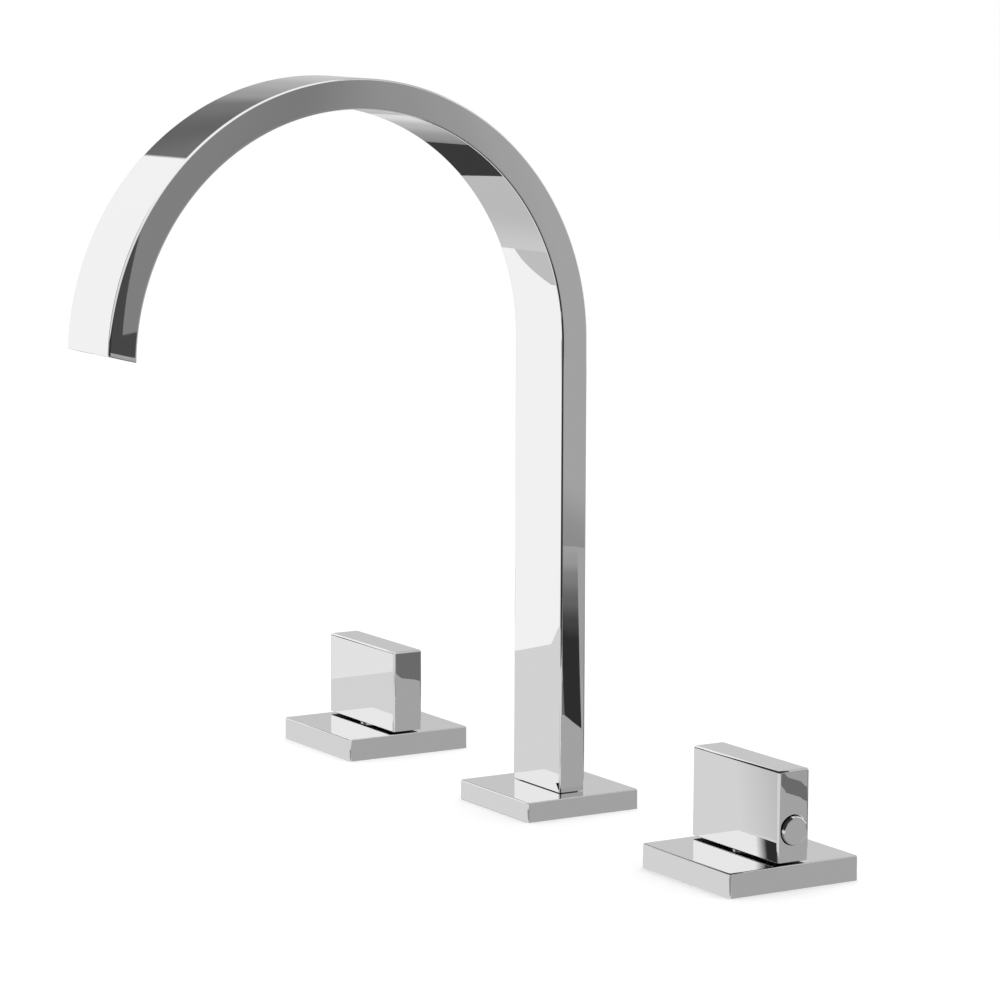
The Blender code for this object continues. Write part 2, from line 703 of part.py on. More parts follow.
def make_cartridge_body(prefix, parent):
    shoulder_bottom = BODY_TOP - SHOULDER_THICKNESS
    profile = [
        (CAVITY_RADIUS, CARTRIDGE_BOTTOM),
        (CARTRIDGE_RADIUS, CARTRIDGE_BOTTOM),
        (CARTRIDGE_RADIUS, shoulder_bottom),
        (SHOULDER_RADIUS, shoulder_bottom),
        (SHOULDER_RADIUS, BODY_TOP),
        (CARTRIDGE_NECK_RADIUS, BODY_TOP),
        (CARTRIDGE_NECK_RADIUS, CARTRIDGE_TOP),
        (STEM_BORE_RADIUS, CARTRIDGE_TOP),
        (STEM_BORE_RADIUS, CAVITY_TOP),
        (CAVITY_RADIUS, CAVITY_TOP),
    ]
    body = new_piece(f"{prefix}_cartridge_body", turned(profile, SMALL_STEPS, closed=True), "brass", parent)
    reach = CARTRIDGE_RADIUS + CUT_OVERRUN
    window = box(
        (-reach, -WINDOW_WIDTH / 2, WINDOW_BOTTOM),
        (reach, WINDOW_WIDTH / 2, WINDOW_BOTTOM + WINDOW_HEIGHT),
    )
    cut(body, window)


def disc_port(middle_angle, top):
    """Cutter for one opening of a ceramic disc, a piece of a ring about the given angle."""
    inner = DISC_PORT_INNER
    outer = DISC_RADIUS - DISC_PORT_RIM
    outline = []
    for radius, direction in ((outer, 1), (inner, -1)):
        for step in range(DISC_PORT_STEPS + 1):
            angle = middle_angle + direction * DISC_PORT_SPREAD * (step / DISC_PORT_STEPS - 0.5)
            outline.append((radius * math.cos(angle), radius * math.sin(angle)))
    levels = (top - DISC_THICKNESS - CUT_OVERRUN, top + CUT_OVERRUN)
    return loft([[Vector((x, y, level)) for x, y in outline] for level in levels])


def make_fixed_disc(prefix, parent):
    shape = rod(DISC_RADIUS, FIXED_DISC_TOP - DISC_THICKNESS, FIXED_DISC_TOP)
    disc = new_piece(f"{prefix}_fixed_disc", shape, "ceramic", parent)
    cut(disc, disc_port(0, FIXED_DISC_TOP), disc_port(math.pi, FIXED_DISC_TOP))


def make_seat_seal(prefix, parent):
    shape = washer(DISC_RADIUS - SEAT_SEAL_WIDTH, DISC_RADIUS, CARTRIDGE_BOTTOM, SEAT_SEAL_TOP, SMALL_STEPS)
    new_piece(f"{prefix}_seat_seal", shape, "rubber", parent)


# Pieces that turn with a handle


def lug_hole(side):
    """Cutter for one of the moving disc's two holes, which the driver's lugs fill."""
    shape = bore(LUG_RADIUS + CLEARANCE, -DISC_THICKNESS - CUT_OVERRUN, CUT_OVERRUN, PIN_STEPS)
    shape.transform(Matrix.Translation((side * LUG_REACH, 0, MOVING_DISC_TOP)))
    return shape


def make_moving_disc(prefix, parent):
    shape = rod(DISC_RADIUS, MOVING_DISC_TOP - DISC_THICKNESS, MOVING_DISC_TOP)
    disc = new_piece(f"{prefix}_moving_disc", shape, "ceramic", parent)
    quarter = math.pi / 2
    cut(
        disc,
        disc_port(quarter, MOVING_DISC_TOP),
        disc_port(-quarter, MOVING_DISC_TOP),
        lug_hole(1),
        lug_hole(-1),
    )


def make_cartridge_stem(prefix, parent):
    groove_radius = STEM_RADIUS - 2 * O_RING_WIRE - O_RING_GROOVE_SPARE
    groove_half = O_RING_WIRE + CLEARANCE
    clip_groove = STEM_RADIUS - STEM_CLIP_BITE
    spline_bottom = INSERT_BOTTOM - CLEARANCE
    profile = [
        (STEM_RADIUS, (DRIVER_BOTTOM + DRIVER_TOP) / 2),
        (STEM_RADIUS, -O_RING_DEPTH - groove_half),
        (groove_radius, -O_RING_DEPTH - groove_half),
        (groove_radius, -O_RING_DEPTH + groove_half),
        (STEM_RADIUS, -O_RING_DEPTH + groove_half),
        (STEM_RADIUS, STEM_CLIP_BOTTOM - CLEARANCE),
        (clip_groove, STEM_CLIP_BOTTOM - CLEARANCE),
        (clip_groove, STEM_CLIP_TOP + CLEARANCE),
        (STEM_RADIUS, STEM_CLIP_TOP + CLEARANCE),
        (STEM_RADIUS, spline_bottom),
        (serration(STEM_RADIUS), spline_bottom),
        (serration(STEM_RADIUS), STEM_TOP),
    ]
    stem = new_piece(f"{prefix}_cartridge_stem", turned(profile, 2 * SPLINE_TEETH), "brass", parent)
    driver_length = 2 * (DISC_RADIUS - DRIVER_END_GAP)
    join(stem, centred_box(driver_length, DRIVER_WIDTH, DRIVER_BOTTOM, DRIVER_TOP))
    for side in (-1, 1):
        lug = rod(LUG_RADIUS, -CLEARANCE - LUG_LENGTH, DRIVER_THICKNESS / 2, PIN_STEPS)
        lug.transform(Matrix.Translation((side * LUG_REACH, 0, DRIVER_BOTTOM)))
        join(stem, lug)


def make_stem_o_ring(prefix, parent):
    middle = STEM_RADIUS - O_RING_WIRE
    profile = []
    for step in range(O_RING_WIRE_STEPS):
        angle = math.tau * step / O_RING_WIRE_STEPS
        profile.append((middle + O_RING_WIRE * math.cos(angle), O_RING_WIRE * math.sin(angle) - O_RING_DEPTH))
    new_piece(f"{prefix}_stem_o_ring", turned(profile, SMALL_STEPS, closed=True), "rubber", parent)


def make_stem_clip(prefix, parent):
    inner = STEM_RADIUS - STEM_CLIP_BITE + CLEARANCE
    shape = washer(inner, inner + STEM_CLIP_WIDTH, STEM_CLIP_BOTTOM, STEM_CLIP_TOP, SMALL_STEPS)
    new_piece(f"{prefix}_stem_clip", shape, "steel", parent)


def make_handle_insert(prefix, parent):
    shape = washer(serration(SPLINE_BORE_RADIUS), INSERT_RADIUS, INSERT_BOTTOM, INSERT_TOP, 2 * SPLINE_TEETH)
    insert = new_piece(f"{prefix}_handle_insert", shape, "brass", parent)
    cut(insert, screw_hole())


def screw_hole():
    """Cutter for the grub screw's hole, from the handle's axis out through its rear face."""
    shape = bore(SET_SCREW_RADIUS + CLEARANCE, 0, HANDLE_THICKNESS / 2 + CUT_OVERRUN, PIN_STEPS)
    return to_rear(shape)


def to_rear(shape):
    """Turns a shape made along +Z to point at the handle's rear, at the grub screw's level."""
    level = (INSERT_BOTTOM + INSERT_TOP) / 2
    shape.transform(Matrix.Translation((0, 0, level)) @ Matrix.Rotation(-math.pi / 2, 4, "X"))
    return shape


def make_set_screw(prefix, parent):
    tip = STEM_RADIUS + CLEARANCE
    head = HANDLE_THICKNESS / 2 - SET_SCREW_RECESS
    screw = to_rear(rod(SET_SCREW_RADIUS, tip, head, PIN_STEPS))
    piece = new_piece(f"{prefix}_set_screw", screw, "steel", parent)
    socket = turned(
        [
            (hexagon(SET_SCREW_SOCKET_FLATS / 2), head - SET_SCREW_SOCKET),
            (hexagon(SET_SCREW_SOCKET_FLATS / 2), head + CUT_OVERRUN),
        ],
        PIN_STEPS,
    )
    cut(piece, to_rear(socket))


def make_handle(prefix, side, parent):
    top = HANDLE_BOTTOM + HANDLE_HEIGHT
    shape = centred_box(HANDLE_LENGTH, HANDLE_THICKNESS, HANDLE_BOTTOM, top)
    round_edges(shape, HANDLE_CORNER_RADIUS, HANDLE_CORNER_STEPS, is_upright)
    round_edges(shape, HANDLE_EDGE_RADIUS, HANDLE_EDGE_STEPS, lies_at(top))
    round_edges(shape, HANDLE_BOTTOM_EDGE_RADIUS, HANDLE_EDGE_STEPS, lies_at(HANDLE_BOTTOM))
    handle = new_piece(f"{prefix}_handle", shape, "chrome", parent)
    pocket_half = BUTTON_ROD_RADIUS - BUTTON_CLIP_BITE + CLEARANCE + BUTTON_CLIP_WIDTH + POCKET_MARGIN
    pocket_ends = sorted((0, side * GUIDE_INNER))
    pocket = box(
        (pocket_ends[0], -pocket_half, HANDLE_BOTTOM - CUT_OVERRUN),
        (pocket_ends[1], pocket_half, BUTTON_AXIS + pocket_half),
    )
    button_hole = rod(BUTTON_RADIUS + CLEARANCE, SPRING_SEAT, HANDLE_END + CUT_OVERRUN)
    guide_hole = bore(BUTTON_ROD_RADIUS + CLEARANCE, GUIDE_INNER - CUT_OVERRUN, HANDLE_END)
    cut(
        handle,
        rod(HANDLE_BORE_RADIUS, HANDLE_BOTTOM - CUT_OVERRUN, STEM_TOP + HANDLE_BORE_SPARE, ROUND_STEPS),
        pocket,
        along_x(button_hole, side, BUTTON_AXIS),
        along_x(guide_hole, side, BUTTON_AXIS),
        screw_hole(),
    )


# Pieces that travel with a button


def make_button(prefix, side, parent):
    front = HANDLE_END + BUTTON_PROUD
    groove = BUTTON_ROD_RADIUS - BUTTON_CLIP_BITE
    profile = [
        (BUTTON_ROD_RADIUS, BUTTON_ROD_END),
        (BUTTON_ROD_RADIUS, BUTTON_CLIP_INNER - CLEARANCE),
        (groove, BUTTON_CLIP_INNER - CLEARANCE),
        (groove, BUTTON_CLIP_OUTER + CLEARANCE),
        (BUTTON_ROD_RADIUS, BUTTON_CLIP_OUTER + CLEARANCE),
        (BUTTON_ROD_RADIUS, BUTTON_HEAD_BACK),
        (BUTTON_RADIUS, BUTTON_HEAD_BACK),
    ]
    for step in range(BUTTON_EDGE_STEPS + 1):
        angle = math.pi / 2 * step / BUTTON_EDGE_STEPS
        profile.append(
            (BUTTON_RADIUS - BUTTON_EDGE * (1 - math.cos(angle)), front - BUTTON_EDGE * (1 - math.sin(angle)))
        )
    shape = turned([(radius, place - front) for radius, place in profile], ROUND_STEPS)
    new_piece(f"{prefix}_button", along_x(shape, side, 0), "chrome", parent)


def make_button_clip(prefix, side, parent):
    front = HANDLE_END + BUTTON_PROUD
    inner = BUTTON_ROD_RADIUS - BUTTON_CLIP_BITE + CLEARANCE
    shape = washer(
        inner,
        inner + BUTTON_CLIP_WIDTH,
        BUTTON_CLIP_INNER - front,
        BUTTON_CLIP_OUTER - front,
        PIN_STEPS,
    )
    new_piece(f"{prefix}_button_clip", along_x(shape, side, 0), "steel", parent)


def make_button_spring(prefix, side, parent):
    """Coil between the spring seat and the back of the button's head."""
    start = SPRING_SEAT + CLEARANCE + SPRING_WIRE
    rise = SPRING_LENGTH - 2 * SPRING_WIRE
    count = round(SPRING_TURNS * SPRING_STEPS)
    wire_angles = [math.tau * step / SPRING_WIRE_STEPS for step in range(SPRING_WIRE_STEPS)]
    rings = []
    for step in range(count + 1):
        share = step / count
        angle = math.tau * SPRING_TURNS * share
        outwards = Vector((math.cos(angle), math.sin(angle), 0))
        centre = outwards * SPRING_RADIUS + Vector((0, 0, start + rise * share - HANDLE_END - BUTTON_PROUD))
        along = Vector((-math.sin(angle), math.cos(angle), rise / (math.tau * SPRING_TURNS * SPRING_RADIUS)))
        across = along.normalized().cross(outwards)
        rings.append(
            [
                centre + SPRING_WIRE * (outwards * math.cos(turn) + across * math.sin(turn))
                for turn in wire_angles
            ]
        )
    new_piece(f"{prefix}_button_spring", along_x(loft(rings), side, 0), "steel", parent)


# Groups


def make_spout():
    axis = new_axis("spout_axis", (0, 0, 0))
    make_spout_arch(axis)
    make_stream_former(axis)
    make_outlet_gasket(axis)
    make_spout_foot(axis)
    slot_width = BAR_WIDTH - 2 * BAR_WALL
    slot_depth = BAR_DEPTH - 2 * BAR_WALL
    slot_top = SPOUT_PLATE_HEIGHT + CUT_OVERRUN
    slot = centred_box(slot_width, slot_depth, SPOUT_PLATE_HEIGHT - PLATE_TOP_WALL - CUT_OVERRUN, slot_top)
    make_plate("spout_escutcheon", SPOUT_PLATE_WIDTH, SPOUT_PLATE_HEIGHT, slot, axis)
    make_plate_gasket("spout_plate_gasket", SPOUT_PLATE_WIDTH, axis)
    make_deck_gasket("spout_foot_gasket", FOOT_FLANGE_RADIUS, axis)
    make_spout_shank(axis)
    make_clamp_stack("spout", SPOUT_SHANK_RADIUS, axis)
    make_supply_tee(axis)
    make_tee_washer(axis)
    make_tee_nut(axis)


def make_valve(prefix, side):
    """One valve with its handle; side is +1 for the user's right and -1 for the left."""
    axis = new_axis(f"{prefix}_valve_axis", (side * HANDLE_OFFSET, 0, 0))
    hole_bottom = HANDLE_PLATE_HEIGHT - PLATE_TOP_WALL - CUT_OVERRUN
    hole_top = HANDLE_PLATE_HEIGHT + CUT_OVERRUN
    hole = rod(SLEEVE_RADIUS + CLEARANCE, hole_bottom, hole_top, ROUND_STEPS)
    make_plate(f"{prefix}_escutcheon", HANDLE_PLATE_WIDTH, HANDLE_PLATE_HEIGHT, hole, axis)
    make_plate_gasket(f"{prefix}_plate_gasket", HANDLE_PLATE_WIDTH, axis)
    make_deck_gasket(f"{prefix}_valve_gasket", RING_NUT_RADIUS, axis)
    make_valve_body(prefix, side, axis)
    make_ring_nut(prefix, axis)
    make_neck_sleeve(prefix, axis)
    make_clamp_stack(prefix, BODY_RADIUS, axis)
    make_cartridge_body(prefix, axis)
    make_fixed_disc(prefix, axis)
    make_seat_seal(prefix, axis)
    turning = new_axis(f"{prefix}_handle_axis", (0, 0, 0), axis)
    make_moving_disc(prefix, turning)
    make_cartridge_stem(prefix, turning)
    make_stem_o_ring(prefix, turning)
    make_stem_clip(prefix, turning)
    make_handle_insert(prefix, turning)
    make_set_screw(prefix, turning)
    make_handle(prefix, side, turning)
    front = Vector((side * (HANDLE_END + BUTTON_PROUD), 0, BUTTON_AXIS))
    travelling = new_axis(f"{prefix}_button_axis", front, turning)
    make_button(prefix, side, travelling)
    make_button_clip(prefix, side, travelling)
    make_button_spring(prefix, side, travelling)


clear_scene()
make_spout()
make_valve("left", -1)
make_valve("right", 1)
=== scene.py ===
"""A widespread basin faucet: every piece is built around its CAD frame, then finished, staged and given a camera.

Laid out as an add-on: the sizes and colours are properties, each group of like pieces is an operator, and the
panel in the 3D view's sidebar lists them. Everything is in metres, with the origin on the spout's axis at deck
level, +Z up, the spout reaching towards -Y and +X to the user's right.
"""

import functools
import math

import bmesh
import bpy
from bpy.props import FloatProperty, FloatVectorProperty, IntProperty, PointerProperty
from mathutils import Matrix, Vector


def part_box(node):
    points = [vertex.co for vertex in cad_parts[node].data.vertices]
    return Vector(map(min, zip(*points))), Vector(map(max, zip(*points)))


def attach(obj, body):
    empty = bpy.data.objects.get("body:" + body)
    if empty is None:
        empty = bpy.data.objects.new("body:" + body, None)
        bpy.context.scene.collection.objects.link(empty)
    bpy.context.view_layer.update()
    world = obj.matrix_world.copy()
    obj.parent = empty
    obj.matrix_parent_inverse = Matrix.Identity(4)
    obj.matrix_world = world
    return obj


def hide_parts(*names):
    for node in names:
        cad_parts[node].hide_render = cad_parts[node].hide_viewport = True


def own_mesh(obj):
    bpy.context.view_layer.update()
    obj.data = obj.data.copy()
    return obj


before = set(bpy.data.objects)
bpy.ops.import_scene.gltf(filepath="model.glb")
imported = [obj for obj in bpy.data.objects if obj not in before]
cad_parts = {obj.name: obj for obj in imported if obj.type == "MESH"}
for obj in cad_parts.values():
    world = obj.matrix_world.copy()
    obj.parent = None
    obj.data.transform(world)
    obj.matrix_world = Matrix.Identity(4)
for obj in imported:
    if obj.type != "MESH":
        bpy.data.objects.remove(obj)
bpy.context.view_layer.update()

bl_info = {
    "name": "Widespread basin faucet",
    "version": (1, 0, 0),
    "blender": (4, 5, 0),
    "location": "View3D > Sidebar > Faucet",
    "description": "Builds a three-hole basin faucet piece by piece around its CAD frame, with finishes and stage",
    "category": "Object",
}

SIDES = {"left": -1, "right": 1}
PLATES = ("spout", "left", "right")
SMOOTH_ANGLE = math.radians(32)

# Steps round the shapes and along them
ROUND = 96
BORE_ROUND = 64
GUIDE_ROUND = 48
EDGE_STEPS = 5
SOFT_STEPS = 4
LIP_STEPS = 4
BUTTON_EDGE_STEPS = 8
ARCH_STEPS = 200
PLATE_SIDE_STEPS = 12
FORMER_STEPS = 12
SPRING_STEPS = 48
WIRE_STEPS = 10
THREAD_ROWS = 6
THREAD_RIDGE = (0.0, 0.0, 0.5, 1.0, 1.0, 0.5)

# The least lengths that count, and the share of a side that a softened corner may take
LEAST_RADIUS = 1e-6
MERGE_DISTANCE = 1e-7
TINY = 1e-9
CORNER_SHARE = 0.45

# Sizes that follow the CAD pieces, so they aren't among the properties
FIT = 0.0003
OVERRUN = 0.002
SOFT_EDGE = 0.0003
AXIS_RING = 1e-5
BAR_EDGE_LEAST = 0.00025
FORMER_RIM = 0.0012
SLOT_ROUNDNESS = 0.98
GASKET_EDGE = 0.0004
GASKET_CORNER = 0.0006
STEM_ROOM = 0.001
CLIP_ROOM = 0.0007
BUTTON_ROD = 0.0018
BUTTON_GROOVE = 0.0006
BUTTON_BEVEL = 0.0002
SLEEVE_FLANGE = 0.0036
SLEEVE_WALL = 0.0008
CLAMP_WASHER_WIDTH = 0.009
STEEL_WASHER_EDGE = 0.0002
SEAL_WIDTH = 0.004
LOCK_NUT_WALL = 0.005
RING_NUT_WALL = 0.0046
RING_NUT_EDGE = 0.0006
NUT_LAND = 0.97
SHANK_WALL = 0.0045
SHANK_END = 0.0012
SHANK_PLAIN_TURNS = 4
TEE_NECK = 0.0072
TEE_NECK_BORE = TEE_NECK - 0.0032
TEE_SEAL_BORE = 0.004
TEE_FLANGE = 0.0025
TEE_HALF_MIDDLE = 0.004
TEE_PLAIN_SHARE = 0.45
PORT_RADIUS = 0.0083
PORT_BORE = PORT_RADIUS - 0.0038
PORT_END = 0.0008
PORT_RUNOUT = 0.0006
PORT_BEVEL = 0.0003
INLET_RADIUS = 0.01045
INLET_BORE = INLET_RADIUS - 0.0045
INLET_END = 0.001
INLET_BEVEL = 0.0006
INLET_NECK = 0.002
VALVE_WALL = 0.0037
VALVE_BEVEL = 0.0004
VALVE_HALF_HEX = 0.005
VALVE_HEX_STEP = 0.001
VALVE_LAND = 0.985
VALVE_SHOULDER = 0.002
VALVE_RUNOUT = 0.0008
VALVE_SPARE = 0.003
VALVE_PORT_DROP = 0.004
VALVE_PORT_PLAIN = 0.003

# The floor and the lamp
FLOOR_HALF = 30
LAMP_SIZE = 1.6
LAMP_PLACE = (-0.4, 0.3, 2.0)
LAMP_AIM = (0, 0, 0.1)


@functools.cache
def box(node):
    """Lowest and highest corners of a CAD node."""
    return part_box(node)


def middle(node):
    low, high = box(node)
    return (low + high) / 2


def half_width(node):
    low, high = box(node)
    return (high.x - low.x) / 2


def half_flats_of(node):
    """Half the distance across the flats of a CAD nut."""
    low, high = box(node)
    return min(high.x - low.x, high.y - low.y) / 2


def distances(node, x):
    """Distances of a CAD node's two ends from a place along X, the nearer first."""
    return sorted(abs(corner.x - x) for corner in box(node))


# Sizes and colours that a user would change


def length(name, description, default):
    return FloatProperty(
        name=name,
        description=description,
        default=default,
        min=0.0,
        precision=5,
        subtype="DISTANCE",
        unit="LENGTH",
    )


def angle(name, description, degrees):
    return FloatProperty(name=name, description=description, default=math.radians(degrees), subtype="ANGLE")


def share(name, description, default):
    return FloatProperty(name=name, description=description, default=default, min=0.0, max=1.0, subtype="FACTOR")


def tint(name, description, default):
    return FloatVectorProperty(
        name=name, description=description, default=default, size=3, min=0.0, max=1.0, subtype="COLOR"
    )


class FaucetSpout(bpy.types.PropertyGroup):
    bend_radius: length("Bend radius", "Radius of the arch's outer face", 0.1013)
    wall: length("Wall", "Wall of the bent tube", 0.0015)
    edge: length("Edge", "Rounding of the tube's long edges", 0.0008)
    lip: length("Lip", "Rounding of the outlet's rim", 0.0003)
    outlet_angle: angle("Outlet angle", "Where the arch ends, measured from the column", 178.35)
    outlet_slant: angle("Outlet slant", "How much further the inner face reaches than the outer one", 1.5)
    former_recess: length("Former recess", "How far the stream former sits inside the outlet", 0.0010)
    former_length: length("Former length", "Length of the stream former along the arch", 0.0080)
    slot_width: length("Slot width", "Width of the stream former's slots", 0.0016)
    slots: IntProperty(name="Slots", description="Number of slots in the stream former", default=9, min=1)


class FaucetPlates(bpy.types.PropertyGroup):
    corner: length("Corner", "Rounding of a plate's upright corners", 0.0012)
    edge: length("Edge", "Rounding of a plate's top edge", 0.0005)
    top_wall: length("Top wall", "Thickness of the plate over its hollow", 0.0025)
    rim: length("Rim", "Width of the rim that stands on the deck", 0.0015)
    ledge: length("Ledge", "Width of the step that the gasket presses on", 0.0023)


class FaucetHandles(bpy.types.PropertyGroup):
    corner: length("Corner", "Rounding of a handle's upright edges", 0.0010)
    edge: length("Edge", "Rounding of a handle's top edges", 0.0008)
    foot_edge: length("Foot edge", "Rounding of a handle's bottom edges", 0.0003)
    bore: length("Bore", "Radius of the bore for the splined insert", 0.0052)
    button_edge: length("Button edge", "Rounding of a button's rim", 0.0009)
    button_head: length("Button head", "Length of a button's head", 0.0050)
    button_hole_edge: length("Hole edge", "Bevel round the button's hole", 0.0002)
    spring_wire: length("Spring wire", "Radius of the button spring's wire", 0.0004)
    spring_turns: FloatProperty(
        name="Spring turns", description="Turns of the button spring", default=4.5, min=1.0
    )
    button_stroke: length("Button stroke", "How far a button goes in", 0.0012)


class FaucetFittings(bpy.types.PropertyGroup):
    shank_pitch: length("Shank pitch", "Pitch of the shanks' threads", 0.0015)
    port_pitch: length("Port pitch", "Pitch of the side ports' threads", 0.001337)
    inlet_pitch: length("Inlet pitch", "Pitch of the inlets' threads", 0.001814)
    thread_share: share("Thread depth", "Depth of a thread as a share of its pitch", 0.55)
    washer_edge: length("Washer edge", "Rounding of the washers' and gaskets' edges", 0.0004)
    nut_edge: length("Nut edge", "Bevel at a nut's bore", 0.0006)


class FaucetFinishes(bpy.types.PropertyGroup):
    chrome: tint("Chrome", "Colour of the polished chrome", (0.884, 0.880, 0.886))
    brass: tint("Brass", "Colour of the machined brass", (0.72, 0.54, 0.25))
    steel: tint("Steel", "Colour of the stainless steel", (0.60, 0.60, 0.61))
    rubber: tint("Rubber", "Colour of the seals", (0.028, 0.028, 0.030))
    ceramic: tint("Ceramic", "Colour of the valve discs", (0.88, 0.87, 0.83))
    plastic: tint("Plastic", "Colour of the stream former", (0.62, 0.63, 0.64))
    # Partly the handles' unpolished underside, mostly painted shade: near black, it stands for the shadow in the
    # narrow gap between each handle and its plate.
    casting: tint("Underside", "Colour of the handles' unpolished underside", (0.035, 0.035, 0.038))


class FaucetStage(bpy.types.PropertyGroup):
    camera_place: FloatVectorProperty(
        name="Camera",
        description="Where the camera stands",
        default=(1.30879, -0.82352, 0.34073),
        subtype="TRANSLATION",
    )
    camera_turn: angle("Turn", "Direction in which the camera looks, from +Y towards -X", 58.87)
    camera_tilt: angle("Tilt", "How far the camera looks down", 8.09)
    camera_roll: angle("Roll", "How far the camera is rolled", 0.15)
    focal_length: FloatProperty(name="Focal length", description="Focal length in millimetres", default=145.32)
    shift: FloatVectorProperty(name="Shift", description="Shift of the lens", default=(0.02296, -0.00279), size=2)
    floor: tint("Floor", "Colour of the floor", (0.80, 0.80, 0.80))
    room_light: share("Room light", "Level of the even light from all round", 0.86)
    key_light: FloatProperty(name="Key light", description="Power of the soft light above", default=7.0, min=0.0)
    board: share("Board", "Level of the pale board that mirrors see in front of the faucet", 0.73)
    shade: share("Shade", "Level of the board's shaded rear strip", 0.41)
    wall: share("Wall", "Level of the grey wall behind the left handle", 0.62)
    flag: share("Flag", "Level of the dark cards", 0.03)


# Meshes


def join_rows(shape, rows):
    """Adds the faces between rows of equal length that run round a shape."""
    for lower, upper in zip(rows, rows[1:]):
        for here in range(len(lower)):
            after = (here + 1) % len(lower)
            shape.faces.new((lower[here], lower[after], upper[after], upper[here]))


def add_rings(shape, rings):
    """Adds an open band through rings to a shape."""
    join_rows(shape, [[shape.verts.new(point) for point in row] for row in rings])


def loft(rings, closed=False):
    """One closed mesh through rings of equal length; its ends are capped, or joined when closed."""
    shape = bmesh.new()
    rows = [[shape.verts.new(point) for point in row] for row in rings]
    if closed:
        rows.append(rows[0])
    else:
        shape.faces.new(rows[0])
        shape.faces.new(rows[-1])
    join_rows(shape, rows)
    bmesh.ops.recalc_face_normals(shape, faces=shape.faces)
    return shape


def ring(radius, level, steps=ROUND):
    """Points round the Z axis; the radius is a length or a function of the angle."""
    points = []
    for step in range(steps):
        turn = math.tau * step / steps
        reach = radius(turn) if callable(radius) else radius
        points.append(Vector((reach * math.cos(turn), reach * math.sin(turn), level)))
    return points


def rings_of(profile, steps=ROUND):
    """Rings through (radius, level) points."""
    return [ring(radius, level, steps) for radius, level in profile]


def turned(profile, steps=ROUND, closed=False):
    """A piece turned about Z from (radius, level) points."""
    return loft(rings_of(profile, steps), closed)


def rounding(radius, steps=EDGE_STEPS):
    """Pairs of how far a rounded edge is drawn in and cut back, from its side to its end face."""
    turns = [math.pi / 2 * step / steps for step in range(steps + 1)]
    return [(radius * (1 - math.cos(turn)), radius * (1 - math.sin(turn))) for turn in turns]


def softened(profile, radius, closed=True):
    """The profile with every corner rounded by a small arc."""
    points = [Vector(point) for point in profile]
    count = len(points)
    result = []
    for number, corner in enumerate(points):
        if not closed and number in (0, count - 1):
            result.append(tuple(corner))
            continue
        back = points[number - 1] - corner
        ahead = points[(number + 1) % count] - corner
        reach = min(radius, CORNER_SHARE * back.length, CORNER_SHARE * ahead.length)
        first = corner + back.normalized() * reach
        last = corner + ahead.normalized() * reach
        for step in range(SOFT_STEPS + 1):
            s = step / SOFT_STEPS
            result.append(tuple(first * (1 - s) ** 2 + corner * 2 * s * (1 - s) + last * s * s))
    return result


def hexagon(half_flats):
    """Radius of a hexagon at an angle."""
    sector = math.pi / 3
    return lambda turn: half_flats / math.cos((turn + sector / 2) % sector - sector / 2)


def rounded_outline(half_x, half_y, radius, corner_steps=6, side_steps=8):
    """Points of a rounded rectangle, with arcs at its corners and even steps along its sides."""
    radius = max(min(radius, half_x, half_y), LEAST_RADIUS)
    corners = ((1, 1), (-1, 1), (-1, -1), (1, -1))

    def corner_point(quarter, turn):
        x, y = corners[quarter % 4]
        across = x * (half_x - radius) + radius * math.cos(turn)
        return Vector((across, y * (half_y - radius) + radius * math.sin(turn)))

    points = []
    for quarter in range(4):
        for step in range(corner_steps + 1):
            points.append(corner_point(quarter, math.pi / 2 * (quarter + step / corner_steps)))
        start = points[-1]
        end = corner_point(quarter + 1, math.pi / 2 * (quarter + 1))
        points += [start.lerp(end, step / side_steps) for step in range(1, side_steps)]
    return points


def at_level(outline, level):
    return [Vector((point.x, point.y, level)) for point in outline]


def along_x(shape, side, level):
    """Turns a shape made along +Z to run outwards along X on the given side, at a level."""
    quarter = Matrix.Rotation(math.pi / 2, 4, "Y")
    half = Matrix.Rotation(0.0 if side > 0 else math.pi, 4, "Z")
    shape.transform(Matrix.Translation((0, 0, level)) @ half @ quarter)
    return shape


def moved(shape, x):
    """Moves a shape or mesh along X."""
    shape.transform(Matrix.Translation((x, 0, 0)))
    return shape


def add_thread(shape, radius, pitch, bottom, top):
    """Adds the wall of a helical thread between two levels; it fades into its core at both ends."""
    depth = pitch * bpy.context.scene.faucet_fittings.thread_share
    rows = THREAD_ROWS * (math.ceil((top - bottom) / pitch) + 2)
    columns = []
    for step in range(ROUND):
        turn = math.tau * step / ROUND
        column = []
        for row in range(rows + 1):
            level = bottom + (row / THREAD_ROWS + step / ROUND - 1) * pitch
            level = min(max(level, bottom), top)
            fade = min(1.0, (level - bottom) / pitch, (top - level) / pitch)
            reach = radius - depth * (1 - THREAD_RIDGE[row % THREAD_ROWS] * max(fade, 0.0))
            column.append(shape.verts.new((reach * math.cos(turn), reach * math.sin(turn), level)))
        columns.append(column)
    for step in range(ROUND):
        here = columns[step]
        after = columns[(step + 1) % ROUND]
        shift = 0 if step + 1 < ROUND else THREAD_ROWS
        for row in range(rows - shift):
            shape.faces.new((here[row], after[row + shift], after[row + shift + 1], here[row + 1]))
    return radius - depth


def sewn(shape):
    """Merges the bands of a shape into one closed skin."""
    bmesh.ops.remove_doubles(shape, verts=shape.verts, dist=MERGE_DISTANCE)
    bmesh.ops.dissolve_degenerate(shape, dist=MERGE_DISTANCE, edges=shape.edges)
    bmesh.ops.recalc_face_normals(shape, faces=shape.faces)
    return shape


